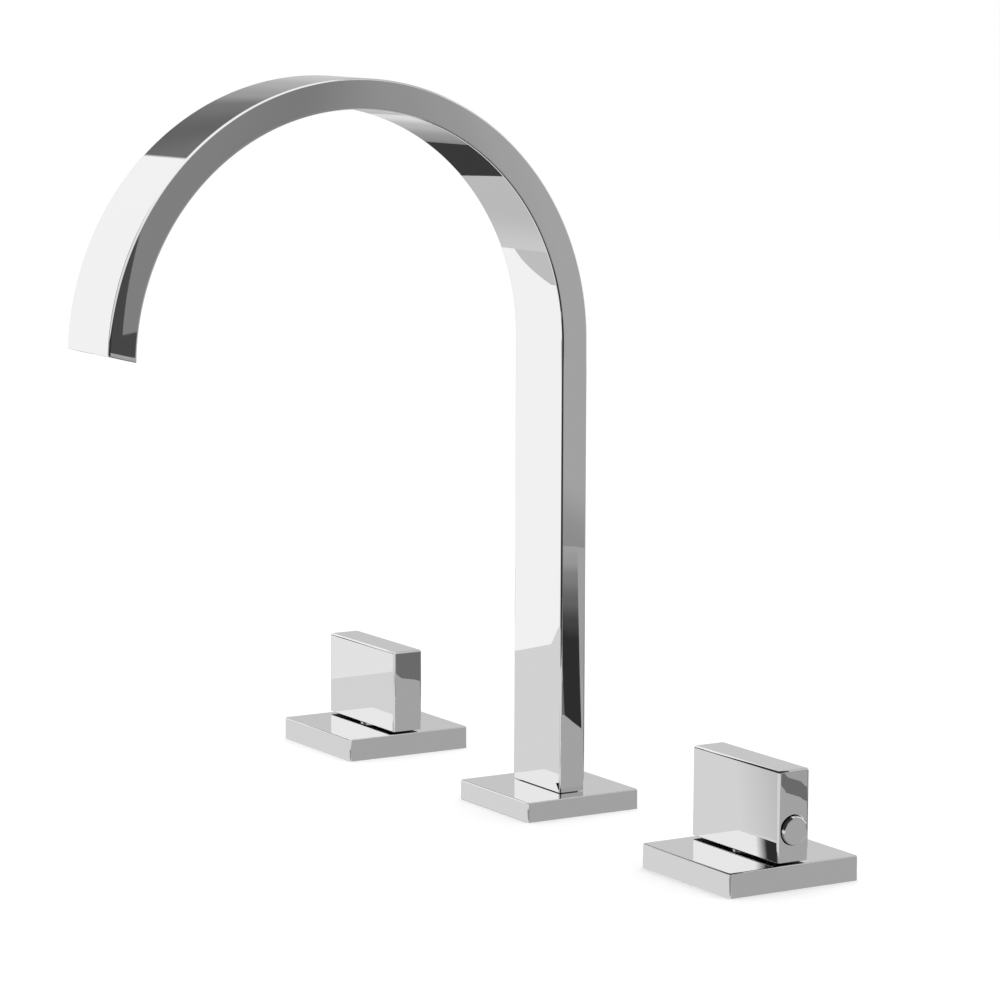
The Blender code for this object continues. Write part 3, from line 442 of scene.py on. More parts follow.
def threaded_tube(radius, bore, pitch, bottom, top, thread_bottom, thread_top):
    """A tube along Z, threaded between two levels and plain above them, with a bevelled lower end."""
    shape = bmesh.new()
    core = add_thread(shape, radius, pitch, thread_bottom, thread_top)
    bevel = min(radius - core, (thread_bottom - bottom) / 2)
    low = [(bore, bottom), (core - bevel / 2, bottom), (core, bottom + bevel / 2), (core, thread_bottom)]
    high = [(core, thread_top), (radius, thread_top), (radius, top), (bore, top)]
    for profile in (low, high, [(bore, bottom), (bore, top)]):
        add_rings(shape, rings_of(profile))
    return sewn(shape)


def turned_hexagon(half_flats, bottom, top, land_share=NUT_LAND):
    """Rings of a hexagon whose corners are turned off by a cone at both ends."""
    land = half_flats * land_share
    slope = math.tan(math.pi / 6)
    depth = (half_flats / math.cos(math.pi / 6) - land) * slope
    flats = hexagon(half_flats)

    def outline(level):
        cone = land + min(level - bottom, top - level) / slope
        return ring(lambda turn: min(flats(turn), cone), level)

    steps = [depth * step / EDGE_STEPS for step in range(EDGE_STEPS + 1)]
    return [outline(bottom + step) for step in steps] + [outline(top - step) for step in reversed(steps)]


def hex_nut(node, lower, upper):
    """A hexagon nut as high as its CAD node; lower and upper are the points of its bore at either end."""
    low, high = box(node)
    rings = rings_of(lower) + turned_hexagon(half_flats_of(node), low.z, high.z) + rings_of(upper)
    return loft(rings, closed=True)


def washer(inner, outer, bottom, top, radius):
    profile = [(inner, bottom), (outer, bottom), (outer, top), (inner, top)]
    return turned(softened(profile, radius), closed=True)


# Pieces


def linked(name, data):
    """A new object of the scene."""
    item = bpy.data.objects.new(name, data)
    bpy.context.scene.collection.objects.link(item)
    return item


def bare_object(name, shape):
    mesh = bpy.data.meshes.new(name)
    shape.to_mesh(mesh)
    shape.free()
    return linked(name, mesh)


def carved(item, shapes, operation="DIFFERENCE"):
    """Cuts the shapes from an object, or joins them to it, and keeps the result as its mesh."""
    for shape in shapes:
        tool = bare_object(item.name + "_tool", shape)
        step = item.modifiers.new("carve", "BOOLEAN")
        step.operation = operation
        step.solver = "EXACT"
        step.object = tool
        bpy.context.view_layer.update()
        result = bpy.data.meshes.new_from_object(item.evaluated_get(bpy.context.evaluated_depsgraph_get()))
        item.modifiers.remove(step)
        old = item.data
        item.data = result
        bpy.data.meshes.remove(old)
        bpy.data.objects.remove(tool)
    return item


def finished(item, finish, body, *nodes):
    """Smooths a piece, gives it its finish and lets it stand for its CAD nodes on their body."""
    item.data.shade_smooth()
    item.data.set_sharp_from_angle(angle=SMOOTH_ANGLE)
    even = item.modifiers.new("even_shading", "WEIGHTED_NORMAL")
    even.keep_sharp = True
    even.weight = 100
    item.data.materials.clear()
    item.data.materials.append(material(finish))
    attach(item, body)
    if nodes:
        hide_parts(*nodes)
    return item


def piece(name, shape, finish, body, *nodes):
    return finished(bare_object(name, shape), finish, body, *nodes)


def fixed_piece(name, shape, finish, node):
    """A piece of the base, made round the Z axis and moved to its CAD node's place along X."""
    return piece(name, moved(shape, middle(node).x), finish, "base", node)


def stack_washer(node, name, finish, width, edge):
    """A flat ring with rounded edges in the place of a CAD one."""
    low, high = box(node)
    outer = half_width(node)
    return fixed_piece(name, washer(outer - width, outer, low.z, high.z, edge), finish, node)


# Finishes


def new_group(name, inputs, outputs):
    """An empty node group with float inputs, each a name and a value, and named float outputs."""
    group = bpy.data.node_groups.new(name, "ShaderNodeTree")
    for title, value in inputs:
        socket = group.interface.new_socket(name=title, in_out="INPUT", socket_type="NodeSocketFloat")
        socket.default_value = value
    for title in outputs:
        group.interface.new_socket(name=title, in_out="OUTPUT", socket_type="NodeSocketFloat")
    return group, group.nodes.new("NodeGroupInput"), group.nodes.new("NodeGroupOutput")


def maths(tree, operation, first, second=None):
    node = tree.nodes.new("ShaderNodeMath")
    node.operation = operation
    for socket, value in zip(node.inputs, (first, second)):
        if value is None:
            continue
        if isinstance(value, (int, float)):
            socket.default_value = value
        else:
            tree.links.new(value, socket)
    return node.outputs[0]


def noise(tree, vector, scale, detail, roughness=0.55):
    node = tree.nodes.new("ShaderNodeTexNoise")
    tree.links.new(vector, node.inputs["Vector"])
    if isinstance(scale, (int, float)):
        node.inputs["Scale"].default_value = scale
    else:
        tree.links.new(scale, node.inputs["Scale"])
    node.inputs["Detail"].default_value = detail
    node.inputs["Roughness"].default_value = roughness
    return node.outputs["Fac"]


def object_place(tree):
    return tree.nodes.new("ShaderNodeTexCoord").outputs["Object"]


def polish_group():
    """Long soft waves and fine marks that polishing leaves in metal."""
    inputs = [("Wave Scale", 20.0), ("Mark Scale", 900.0), ("Waves", 1.0), ("Marks", 0.1)]
    group, given, result = new_group("Polish", inputs, ("Height", "Marks"))
    place = object_place(group)
    waves = maths(group, "MULTIPLY", noise(group, place, given.outputs["Wave Scale"], 1.0), given.outputs["Waves"])
    marks = noise(group, place, given.outputs["Mark Scale"], 4.0, 0.7)
    fine = maths(group, "MULTIPLY", marks, given.outputs["Marks"])
    group.links.new(maths(group, "ADD", waves, fine), result.inputs["Height"])
    group.links.new(marks, result.inputs["Marks"])
    return group


def turning_group():
    """Fine rings that a lathe leaves round an upright axis."""
    inputs = [("Ring Spacing", 0.0002), ("Unevenness", 0.4)]
    group, given, result = new_group("Turning", inputs, ("Height",))
    place = object_place(group)
    parts = group.nodes.new("ShaderNodeSeparateXYZ")
    group.links.new(place, parts.inputs[0])
    x, y = parts.outputs["X"], parts.outputs["Y"]
    squares = maths(group, "ADD", maths(group, "MULTIPLY", x, x), maths(group, "MULTIPLY", y, y))
    run = maths(group, "ADD", maths(group, "SQRT", squares), parts.outputs["Z"])
    wobble = maths(group, "MULTIPLY", noise(group, place, 350.0, 2.0), given.outputs["Unevenness"])
    count = maths(group, "DIVIDE", run, given.outputs["Ring Spacing"])
    rings = maths(group, "SINE", maths(group, "MULTIPLY", count, math.tau))
    group.links.new(maths(group, "ADD", maths(group, "MULTIPLY", rings, 0.5), wobble), result.inputs["Height"])
    return group


def grain_group():
    """Fine grain of moulded, pressed or fired surfaces, with slow patches of colour."""
    inputs = [("Grain Scale", 1500.0), ("Patch Scale", 120.0)]
    group, given, result = new_group("Grain", inputs, ("Grain", "Patches"))
    place = object_place(group)
    group.links.new(noise(group, place, given.outputs["Grain Scale"], 5.0, 0.6), result.inputs["Grain"])
    group.links.new(noise(group, place, given.outputs["Patch Scale"], 3.0, 0.5), result.inputs["Patches"])
    return group


GROUPS = {"Polish": polish_group, "Turning": turning_group, "Grain": grain_group}


def add_group(tree, name, **values):
    """Places a shared effect in a material, with its own values."""
    node = tree.nodes.new("ShaderNodeGroup")
    node.node_tree = bpy.data.node_groups.get(name) or GROUPS[name]()
    for title, value in values.items():
        node.inputs[title.replace("_", " ")].default_value = value
    return node


def spread(tree, factor, low, high, start=0.0, end=1.0):
    """Maps a factor from start to end onto low to high."""
    node = tree.nodes.new("ShaderNodeMapRange")
    tree.links.new(factor, node.inputs["Value"])
    node.inputs["From Min"].default_value = start
    node.inputs["From Max"].default_value = end
    node.inputs["To Min"].default_value = low
    node.inputs["To Max"].default_value = high
    return node.outputs["Result"]


def blended(tree, factor, first, second):
    """A colour between two, by a factor."""
    node = tree.nodes.new("ShaderNodeMix")
    node.data_type = "RGBA"
    tree.links.new(factor, node.inputs["Factor"])
    node.inputs["A"].default_value = (*first, 1.0)
    node.inputs["B"].default_value = (*second, 1.0)
    return node.outputs["Result"]


def shaded(colour, amount):
    return tuple(max(0.0, min(1.0, value * amount)) for value in colour)


def bumped(tree, shader, height, strength, distance):
    node = tree.nodes.new("ShaderNodeBump")
    node.inputs["Strength"].default_value = strength
    node.inputs["Distance"].default_value = distance
    tree.links.new(height, node.inputs["Height"])
    tree.links.new(node.outputs["Normal"], shader.inputs["Normal"])


MIDDLE_RANGE = (0.3, 0.7)
TONE_RANGES = {"Patches": (0.35, 0.65), "Grain": (0.4, 0.6)}


def chrome(tree, shader, colour):
    polish = add_group(tree, "Polish", Wave_Scale=22.0, Mark_Scale=1400.0, Waves=1.0, Marks=0.0)
    marks = polish.outputs["Marks"]
    shader.inputs["Metallic"].default_value = 1.0
    tone = blended(tree, spread(tree, marks, 0.0, 1.0, *MIDDLE_RANGE), shaded(colour, 0.985), colour)
    tree.links.new(tone, shader.inputs["Base Color"])
    tree.links.new(spread(tree, marks, 0.005, 0.018, *MIDDLE_RANGE), shader.inputs["Roughness"])
    bumped(tree, shader, polish.outputs["Height"], 0.35, 0.00006)


def grained(scales, tones, roughness, bump, metallic=1.0, tone_by="Patches", rough_by="Grain", lathe_rings=False):
    """A finish on the shared grain, from the scales of its grain and patches.

    Tones and roughness run between two values each, and the bump has a strength and a distance."""

    def dress(tree, shader, colour):
        grain = add_group(tree, "Grain", Grain_Scale=scales[0], Patch_Scale=scales[1])
        height = grain.outputs["Grain"]
        if lathe_rings:
            height = add_group(tree, "Turning", Ring_Spacing=0.00022, Unevenness=0.5).outputs["Height"]
        shader.inputs["Metallic"].default_value = metallic
        tone = spread(tree, grain.outputs[tone_by], 0.0, 1.0, *TONE_RANGES[tone_by])
        darker, lighter = (shaded(colour, amount) for amount in tones)
        tree.links.new(blended(tree, tone, darker, lighter), shader.inputs["Base Color"])
        rough = spread(tree, grain.outputs[rough_by], *roughness, *MIDDLE_RANGE)
        tree.links.new(rough, shader.inputs["Roughness"])
        bumped(tree, shader, height, *bump)

    return dress


FINISHES = {
    "chrome": chrome,
    "brass": grained(
        (700.0, 90.0), (0.86, 1.06), (0.34, 0.22), (0.25, 0.00003), rough_by="Patches", lathe_rings=True
    ),
    "steel": grained((2200.0, 160.0), (0.92, 1.05), (0.22, 0.38), (0.2, 0.00002)),
    "rubber": grained((1800.0, 70.0), (1.0, 1.9), (0.55, 0.75), (0.5, 0.00005), metallic=0.0),
    "ceramic": grained(
        (2600.0, 200.0),
        (0.94, 1.0),
        (0.12, 0.26),
        (0.1, 0.00001),
        metallic=0.0,
        tone_by="Grain",
        rough_by="Patches",
    ),
    "plastic": grained((1900.0, 110.0), (0.93, 1.04), (0.36, 0.5), (0.3, 0.00003), metallic=0.0),
    # Painted shade under the handles: rough metal for their unpolished underside, made near black to stand for the
    # shadowed gap above each plate.
    "casting": grained((1100.0, 140.0), (1.0, 1.5), (0.5, 0.7), (0.6, 0.00006)),
}


def material(finish):
    """The material of a finish, made the first time it is asked for."""
    found = bpy.data.materials.get(f"faucet_{finish}")
    if found:
        return found
    made = bpy.data.materials.new(f"faucet_{finish}")
    made.use_nodes = True
    shader = made.node_tree.nodes["Principled BSDF"]
    FINISHES[finish](made.node_tree, shader, tuple(getattr(bpy.context.scene.faucet_finishes, finish)))
    return made


# Spout


def bar_outline(shrink=0.0):
    """Rounded rectangle of the bar as (across, outwards) points, drawn in by shrink on each side."""
    edge = bpy.context.scene.faucet_spout.edge
    high = box("spout_arch")[1]
    return rounded_outline(high.x - shrink, high.y - shrink, max(edge - shrink, BAR_EDGE_LEAST), side_steps=2)


def arch_centre():
    """Radius of the arch's centre line, and the level where the column ends and the arch begins."""
    bend_radius = bpy.context.scene.faucet_spout.bend_radius
    high = box("spout_arch")[1]
    return bend_radius - high.y, high.z - bend_radius


def arch_place(outline, along):
    """The outline carried to a share of the arch, from the column's top at 0 to the slanted outlet at 1."""
    spout = bpy.context.scene.faucet_spout
    centre, column_top = arch_centre()
    depth = 2 * box("spout_arch")[1].y
    points = []
    for across, outwards in outline:
        turn = along * (spout.outlet_angle - spout.outlet_slant * outwards / depth)
        reach = centre + outwards
        points.append(Vector((across, reach * math.cos(turn) - centre, column_top + reach * math.sin(turn))))
    return points


def before_outlet(distance):
    """The share of the arch at a distance before its outlet."""
    return 1 - distance / (arch_centre()[0] * bpy.context.scene.faucet_spout.outlet_angle)


def bent_bar():
    """The column and arch as one bent tube with rounded edges and a softened outlet."""
    spout = bpy.context.scene.faucet_spout
    bottom = box("spout_arch")[0].z
    shares = [step / ARCH_STEPS * before_outlet(spout.lip) for step in range(ARCH_STEPS + 1)]
    outer = [at_level(bar_outline(), bottom)] + [arch_place(bar_outline(), along) for along in shares]
    for shrink, back in rounding(spout.lip, LIP_STEPS)[1:]:
        outer.append(arch_place(bar_outline(shrink), before_outlet(back)))
    inner = [at_level(bar_outline(spout.wall), bottom)]
    inner += [arch_place(bar_outline(spout.wall), along) for along in (*shares[::2], 1.0)]
    return loft(outer + inner[::-1], closed=True)


def former_frame(along):
    """Matrix that carries X, outwards and along-the-arch to the bar's centre line at a share of the arch."""
    centre, column_top = arch_centre()
    turn = along * bpy.context.scene.faucet_spout.outlet_angle
    outwards = Vector((0, math.cos(turn), math.sin(turn)))
    onwards = Vector((0, -math.sin(turn), math.cos(turn)))
    place = outwards * centre + Vector((0, -centre, column_top))
    return Matrix.LocRotScale(place, Matrix((Vector((1, 0, 0)), outwards, onwards)).transposed(), None)


def stream_former():
    """The slotted block that shapes the water's sheet."""
    spout = bpy.context.scene.faucet_spout
    first = before_outlet(spout.former_recess + spout.former_length)
    last = before_outlet(spout.former_recess)
    outline = bar_outline(spout.wall + FIT)
    shares = [first + (last - first) * step / FORMER_STEPS for step in range(FORMER_STEPS + 1)]
    former = bare_object("stream_former_block", loft([arch_place(outline, along) for along in shares]))
    half_x = box("stream_former")[1].x - FORMER_RIM
    half_y = box("spout_arch")[1].y - spout.wall - FIT - FORMER_RIM
    reach = spout.former_length / 2 + OVERRUN
    half_slot = spout.slot_width / 2
    outline = rounded_outline(half_slot, half_y, half_slot * SLOT_ROUNDNESS, side_steps=2)
    cutters = bmesh.new()
    for slot in range(spout.slots):
        centre = (2 * half_x - spout.slot_width) * (slot / (spout.slots - 1) - 0.5)
        cutter = loft([[Vector((p.x + centre, p.y, level)) for p in outline] for level in (-reach, reach)])
        cutter.transform(former_frame((first + last) / 2))
        mesh = bpy.data.meshes.new("slot")
        cutter.to_mesh(mesh)
        cutter.free()
        cutters.from_mesh(mesh)
        bpy.data.meshes.remove(mesh)
    return carved(former, [cutters])


# Plates


def plate_shape(node, hole):
    """A square plate with a rounded top edge, a hollow underside and a hole; hole gives its radius at an angle."""
    plates = bpy.context.scene.faucet_plates
    low, high = box(node)
    half = half_width(node)
    ceiling = high.z - plates.top_wall
    recess_top = box("spout_plate_gasket")[1].z + FIT
    recess = half - plates.rim
    hollow = recess - plates.ledge

    def square(reach, level, radius=plates.corner):
        return at_level(rounded_outline(reach, reach, radius, side_steps=PLATE_SIDE_STEPS), level)

    directions = [math.atan2(point.y, point.x) for point in square(half, 0)]

    def opening(level):
        return [Vector((hole(turn) * math.cos(turn), hole(turn) * math.sin(turn), level)) for turn in directions]

    rings = [square(half, low.z)]
    for shrink, back in rounding(plates.edge):
        rings.append(square(half - shrink, high.z - back, plates.corner - shrink))
    rings += [opening(high.z), opening(ceiling), square(hollow, ceiling), square(hollow, recess_top)]
    rings += [square(recess, recess_top), square(recess, low.z)]
    return loft(rings, closed=True)


def rectangle_reach(half_x, half_y):
    """Distance from the middle of a rectangle to its side at an angle."""

    def reach(turn):
        return min(half_x / max(abs(math.cos(turn)), TINY), half_y / max(abs(math.sin(turn)), TINY))

    return reach


def plate_gasket(node):
    """The square seal in a plate's underside."""
    low, high = box(node)
    half = half_width(node)
    inner = half - (bpy.context.scene.faucet_plates.ledge - 2 * FIT)
    profile = softened([(inner, low.z), (half, low.z), (half, high.z), (inner, high.z)], GASKET_EDGE)
    rings = [at_level(rounded_outline(reach, reach, GASKET_CORNER, 4, 2), level) for reach, level in profile]
    return loft(rings, closed=True)


# Handles


def handle_block(prefix, side):
    """A rounded block with its bore, pocket, button hole and grub screw hole."""
    handles = bpy.context.scene.faucet_handles
    node = f"{prefix}_handle"
    low, high = box(node)
    half_x = half_width(node)
    half_y = (high.y - low.y) / 2

    def slab(shrink, level):
        outline = rounded_outline(half_x - shrink, half_y - shrink, handles.corner - shrink, side_steps=4)
        return at_level(outline, level)

    rings = [slab(shrink, low.z + back) for shrink, back in reversed(rounding(handles.foot_edge))]
    rings += [slab(shrink, high.z - back) for shrink, back in rounding(handles.edge)]
    block = bare_object(f"{prefix}_handle_block", loft(rings))
    x = middle(node).x
    clip, button, screw = (box(f"{prefix}_{part}") for part in ("button_clip", "button", "set_screw"))
    axis = (button[0].z + button[1].z) / 2
    button_radius = (button[1].z - button[0].z) / 2 + FIT
    seat = distances(f"{prefix}_button_spring", x)[0] - FIT
    guide_inner = distances(f"{prefix}_button_clip", x)[1] + FIT
    pocket_half = (clip[1].z - clip[0].z) / 2 + CLIP_ROOM
    bottom = low.z - OVERRUN
    pocket = bmesh.new()
    bmesh.ops.create_cube(pocket, size=1.0)
    place = Vector((side * guide_inner / 2, 0, (bottom + axis + pocket_half) / 2))
    size = Vector((guide_inner, 2 * pocket_half, axis + pocket_half - bottom))
    pocket.transform(Matrix.LocRotScale(place, None, size))

    def mouth(radius, inner, face):
        """Profile of a hole whose rim at the outer face is bevelled."""
        wide = radius + handles.button_hole_edge
        return [(radius, inner), (radius, face - handles.button_hole_edge), (wide, face), (wide, face + OVERRUN)]

    rod_radius = BUTTON_ROD + FIT
    rear = turned(mouth((screw[1].x - screw[0].x) / 2 + FIT, 0, half_y), BORE_ROUND)
    to_rear = Matrix.Rotation(-math.pi / 2, 4, "X")
    rear.transform(Matrix.Translation((0, 0, (screw[0].z + screw[1].z) / 2)) @ to_rear)
    stem_top = box(f"{prefix}_cartridge_stem")[1].z + STEM_ROOM
    cuts = [
        turned([(handles.bore, bottom), (handles.bore, stem_top)], BORE_ROUND),
        pocket,
        along_x(turned(mouth(button_radius, seat, half_x)), side, axis),
        along_x(turned([(rod_radius, guide_inner - OVERRUN), (rod_radius, half_x)], GUIDE_ROUND), side, axis),
        rear,
    ]
    carved(block, cuts)
    moved(block.data, x)
    return block


def button_shape(prefix, side):
    """A button's head, rod and clip groove, made along +Z with its face at zero, then laid in its place."""
    handles = bpy.context.scene.faucet_handles
    low, high = box(f"{prefix}_button")
    front = high.x if side > 0 else low.x
    radius = (high.z - low.z) / 2
    reach = high.x - low.x
    near, far = distances(f"{prefix}_button_clip", front)
    groove = BUTTON_ROD - BUTTON_GROOVE
    profile = [
        (BUTTON_ROD - BUTTON_BEVEL, -reach),
        (BUTTON_ROD, -reach + BUTTON_BEVEL),
        (BUTTON_ROD, -far - FIT),
        (groove, -far - FIT),
        (groove, -near + FIT),
        (BUTTON_ROD, -near + FIT),
        (BUTTON_ROD, -handles.button_head),
        (radius - BUTTON_BEVEL, -handles.button_head),
        (radius, -handles.button_head + BUTTON_BEVEL),
    ]
    profile += [(radius - shrink, -back) for shrink, back in rounding(handles.button_edge, BUTTON_EDGE_STEPS)]
    return moved(along_x(turned(profile), side, (low.z + high.z) / 2), front)


def spring_shape(prefix, side):
    """The button's open coil, from the inner end of its CAD place to the outer one."""
    handles = bpy.context.scene.faucet_handles
    low, high = box(f"{prefix}_button_spring")
    wire = handles.spring_wire
    radius = (high.z - low.z) / 2 - wire
    count = round(handles.spring_turns * SPRING_STEPS)
    rise = high.x - low.x - 2 * wire
    climb = rise / (math.tau * handles.spring_turns * radius)
    turns = [math.tau * step / WIRE_STEPS for step in range(WIRE_STEPS)]
    rings = []
    for step in range(count + 1):
        along = step / count
        turn = math.tau * handles.spring_turns * along
        outwards = Vector((math.cos(turn), math.sin(turn), 0))
        across = Vector((-math.sin(turn), math.cos(turn), climb)).normalized().cross(outwards)
        centre = outwards * radius + Vector((0, 0, wire + rise * along))
        rings.append([centre + wire * (outwards * math.cos(t) + across * math.sin(t)) for t in turns])
    shape = along_x(loft(rings), side, (low.z + high.z) / 2)
    return moved(shape, low.x if side > 0 else high.x)


# Operators


class FAUCET_OT_spout(bpy.types.Operator):
    """Builds the bent bar of the spout and the stream former in its outlet"""

    bl_idname = "faucet.spout"
    bl_label = "Spout"

    def execute(self, context):
        piece("spout_bar", bent_bar(), "chrome", "base", "spout_arch")
        finished(stream_former(), "plastic", "base", "stream_former")
        return {"FINISHED"}


class FAUCET_OT_plates(bpy.types.Operator):
    """Builds the three square plates"""

    bl_idname = "faucet.plates"
    bl_label = "Plates"

    def execute(self, context):
        spout = context.scene.faucet_spout
        high = box("spout_arch")[1]
        slot = rectangle_reach(high.x - spout.wall, high.y - spout.wall)
        fixed_piece("spout_plate", plate_shape("spout_escutcheon", slot), "chrome", "spout_escutcheon")
        for prefix in SIDES:
            node = f"{prefix}_escutcheon"
            radius = sleeve_radius(prefix) + FIT
            fixed_piece(f"{prefix}_plate", plate_shape(node, lambda turn: radius), "chrome", node)
        return {"FINISHED"}


def sleeve_radius(prefix):
    """Radius of the neck sleeve where it passes through its plate, from its flange."""
    return half_width(f"{prefix}_neck_sleeve") - SLEEVE_FLANGE


class FAUCET_OT_handles(bpy.types.Operator):
    """Builds the two handles with their grub screw holes"""

    bl_idname = "faucet.handles"
    bl_label = "Handles"

    def execute(self, context):
        for prefix, side in SIDES.items():
            body = f"{prefix}_handle_body"
            block = finished(handle_block(prefix, side), "chrome", body, f"{prefix}_handle")
            # The downward faces at the handle's foot take the near-black underside finish, painted shade for the
            # shadowed gap above the plate.
            block.data.materials.append(material("casting"))
            bottom = box(f"{prefix}_handle")[0].z
            for face in block.data.polygons:
                if face.normal.z < -0.9 and face.center.z < bottom + FIT:
                    face.material_index = 1
        return {"FINISHED"}


class FAUCET_OT_buttons(bpy.types.Operator):
    """Builds the sprung buttons in the handles' outer ends"""

    bl_idname = "faucet.buttons"
    bl_label = "Buttons"

    def execute(self, context):
        for prefix, side in SIDES.items():
            body = f"{prefix}_button_body"
            node = f"{prefix}_button_spring"
            piece(f"{prefix}_button_cap", button_shape(prefix, side), "chrome", body, f"{prefix}_button")
            coil = piece(f"{prefix}_button_coil", spring_shape(prefix, side), "steel", body, node)
            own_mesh(coil)
        return {"FINISHED"}


class FAUCET_OT_necks(bpy.types.Operator):
    """Builds the neck sleeves that show between plates and handles"""

    bl_idname = "faucet.necks"
    bl_label = "Neck sleeves"

    def execute(self, context):
        for prefix in SIDES:
            node = f"{prefix}_neck_sleeve"
            low, high = box(node)
            flange = half_width(node)
            radius = sleeve_radius(prefix)
            flange_top = box(f"{prefix}_escutcheon")[1].z - context.scene.faucet_plates.top_wall - FIT
            bore = radius - SLEEVE_WALL
            profile = [(bore, low.z), (flange, low.z), (flange, flange_top), (radius, flange_top)]
            profile += [(radius, high.z), (bore, high.z)]
            fixed_piece(f"{prefix}_neck", turned(softened(profile, SOFT_EDGE), closed=True), "chrome", node)
        return {"FINISHED"}


class FAUCET_OT_seals(bpy.types.Operator):
    """Builds the gaskets and rubber washers"""

    bl_idname = "faucet.seals"
    bl_label = "Seals"

    def execute(self, context):
        edge = context.scene.faucet_fittings.washer_edge
        for prefix in PLATES:
            node = f"{prefix}_plate_gasket"
            fixed_piece(f"{prefix}_plate_seal", plate_gasket(node), "rubber", node)
            node = f"{prefix}_rubber_washer"
            stack_washer(node, f"{prefix}_deck_washer", "rubber", CLAMP_WASHER_WIDTH, edge)
        stack_washer("spout_foot_gasket", "spout_foot_seal", "rubber", SEAL_WIDTH, edge)
        for prefix in SIDES:
            stack_washer(f"{prefix}_valve_gasket", f"{prefix}_valve_seal", "rubber", SEAL_WIDTH, edge)
        stack_washer("tee_washer", "tee_seal", "rubber", half_width("tee_washer") - TEE_SEAL_BORE, edge)
        return {"FINISHED"}


class FAUCET_OT_clamps(bpy.types.Operator):
    """Builds the steel washers and the nuts that clamp the shanks below the deck"""

    bl_idname = "faucet.clamps"
    bl_label = "Clamps"

    def execute(self, context):
        edge = context.scene.faucet_fittings.nut_edge
        for prefix in PLATES:
            node = f"{prefix}_steel_washer"
            stack_washer(node, f"{prefix}_flat_washer", "steel", CLAMP_WASHER_WIDTH, STEEL_WASHER_EDGE)
            node = f"{prefix}_lock_nut"
            low, high = box(node)
            bore = half_flats_of(node) - LOCK_NUT_WALL
            lower = [(bore, low.z + edge), (bore + edge, low.z)]
            upper = [(bore + edge, high.z), (bore, high.z - edge)]
            fixed_piece(f"{prefix}_clamp_nut", hex_nut(node, lower, upper), "brass", node)
        return {"FINISHED"}


class FAUCET_OT_shank(bpy.types.Operator):
    """Builds the spout's threaded shank"""

    bl_idname = "faucet.shank"
    bl_label = "Spout shank"

    def execute(self, context):
        pitch = context.scene.faucet_fittings.shank_pitch
        low, high = box("spout_shank")
        levels = (low.z, high.z, low.z + SHANK_END, high.z - SHANK_PLAIN_TURNS * pitch)
        shape = threaded_tube(high.x, high.x - SHANK_WALL, pitch, *levels)
        piece("spout_shank_tube", shape, "brass", "base", "spout_shank")
        return {"FINISHED"}


class FAUCET_OT_tee(bpy.types.Operator):
    """Builds the supply tee with its threaded ports and its coupling nut"""

    bl_idname = "faucet.tee"
    bl_label = "Supply tee"

    def execute(self, context):
        low, high = box("supply_tee")
        flange = box("tee_washer")[1].x
        flange_bottom = high.z - TEE_FLANGE
        level = low.z + PORT_RADIUS
        profile = [(TEE_NECK, level), (TEE_NECK, flange_bottom), (flange, flange_bottom), (flange, high.z)]
        tee = bare_object("tee_casting", turned(softened(profile, SOFT_EDGE, closed=False)))
        centre = turned([(PORT_RADIUS, -TEE_HALF_MIDDLE), (PORT_RADIUS, TEE_HALF_MIDDLE)])
        arms = [along_x(port_rod(0.0, high.x, TEE_PLAIN_SHARE * high.x), side, level) for side in (1, -1)]
        carved(tee, [along_x(centre, 1, level)] + arms, "UNION")
        reach = high.x + OVERRUN
        bores = [
            along_x(turned([(PORT_BORE, -reach), (PORT_BORE, reach)]), 1, level),
            turned([(TEE_NECK_BORE, level), (TEE_NECK_BORE, high.z + OVERRUN)], BORE_ROUND),
        ]
        carved(tee, bores)
        finished(tee, "brass", "base", "supply_tee")
        low, high = box("tee_nut")
        edge = context.scene.faucet_fittings.nut_edge
        lip = TEE_NECK + FIT
        lip_top = flange_bottom - FIT
        thread = flange + 2 * FIT
        lower = [(lip, low.z + edge / 2), (lip + edge / 2, low.z)]
        upper = [(thread + edge, high.z), (thread, high.z - edge), (thread, lip_top), (lip, lip_top)]
        piece("coupling_nut", hex_nut("tee_nut", lower, upper), "brass", "base", "tee_nut")
        return {"FINISHED"}


def port_rod(start, end, plain):
    """A solid threaded port along +Z, plain up to a distance and bevelled at its end."""
    shape = bmesh.new()
    thread_top = end - PORT_END
    core = add_thread(shape, PORT_RADIUS, bpy.context.scene.faucet_fittings.port_pitch, plain, thread_top)
    low = [(AXIS_RING, start), (PORT_RADIUS, start), (PORT_RADIUS, plain - PORT_RUNOUT), (core, plain)]
    high = [(core, thread_top), (core, end - PORT_BEVEL), (core - PORT_BEVEL, end), (AXIS_RING, end)]
    add_rings(shape, rings_of(low))
    add_rings(shape, rings_of(high))
    shape.faces.new(axis_ring(shape, start)[::-1])
    shape.faces.new(axis_ring(shape, end))
    return sewn(shape)


def axis_ring(shape, level):
    """The small ring of points round the axis at a level, in order."""
    found = [v for v in shape.verts if abs(v.co.z - level) < TINY and v.co.xy.length < 2 * AXIS_RING]
    return sorted(found, key=lambda v: math.atan2(v.co.y, v.co.x))


class FAUCET_OT_valves(bpy.types.Operator):
    """Builds the valve bodies with their threads, and the ring nuts that hold them"""

    bl_idname = "faucet.valves"
    bl_label = "Valve bodies"

    def execute(self, context):
        for prefix, side in SIDES.items():
            finished(valve_body(prefix, side), "brass", "base", f"{prefix}_valve_body")
            node = f"{prefix}_ring_nut"
            low, high = box(node)
            outer = half_width(node)
            shape = washer(outer - RING_NUT_WALL, outer, low.z, high.z, RING_NUT_EDGE)
            x = middle(f"{prefix}_cartridge_body").x
            piece(f"{prefix}_ring", moved(shape, x), "brass", "base", node)
        return {"FINISHED"}


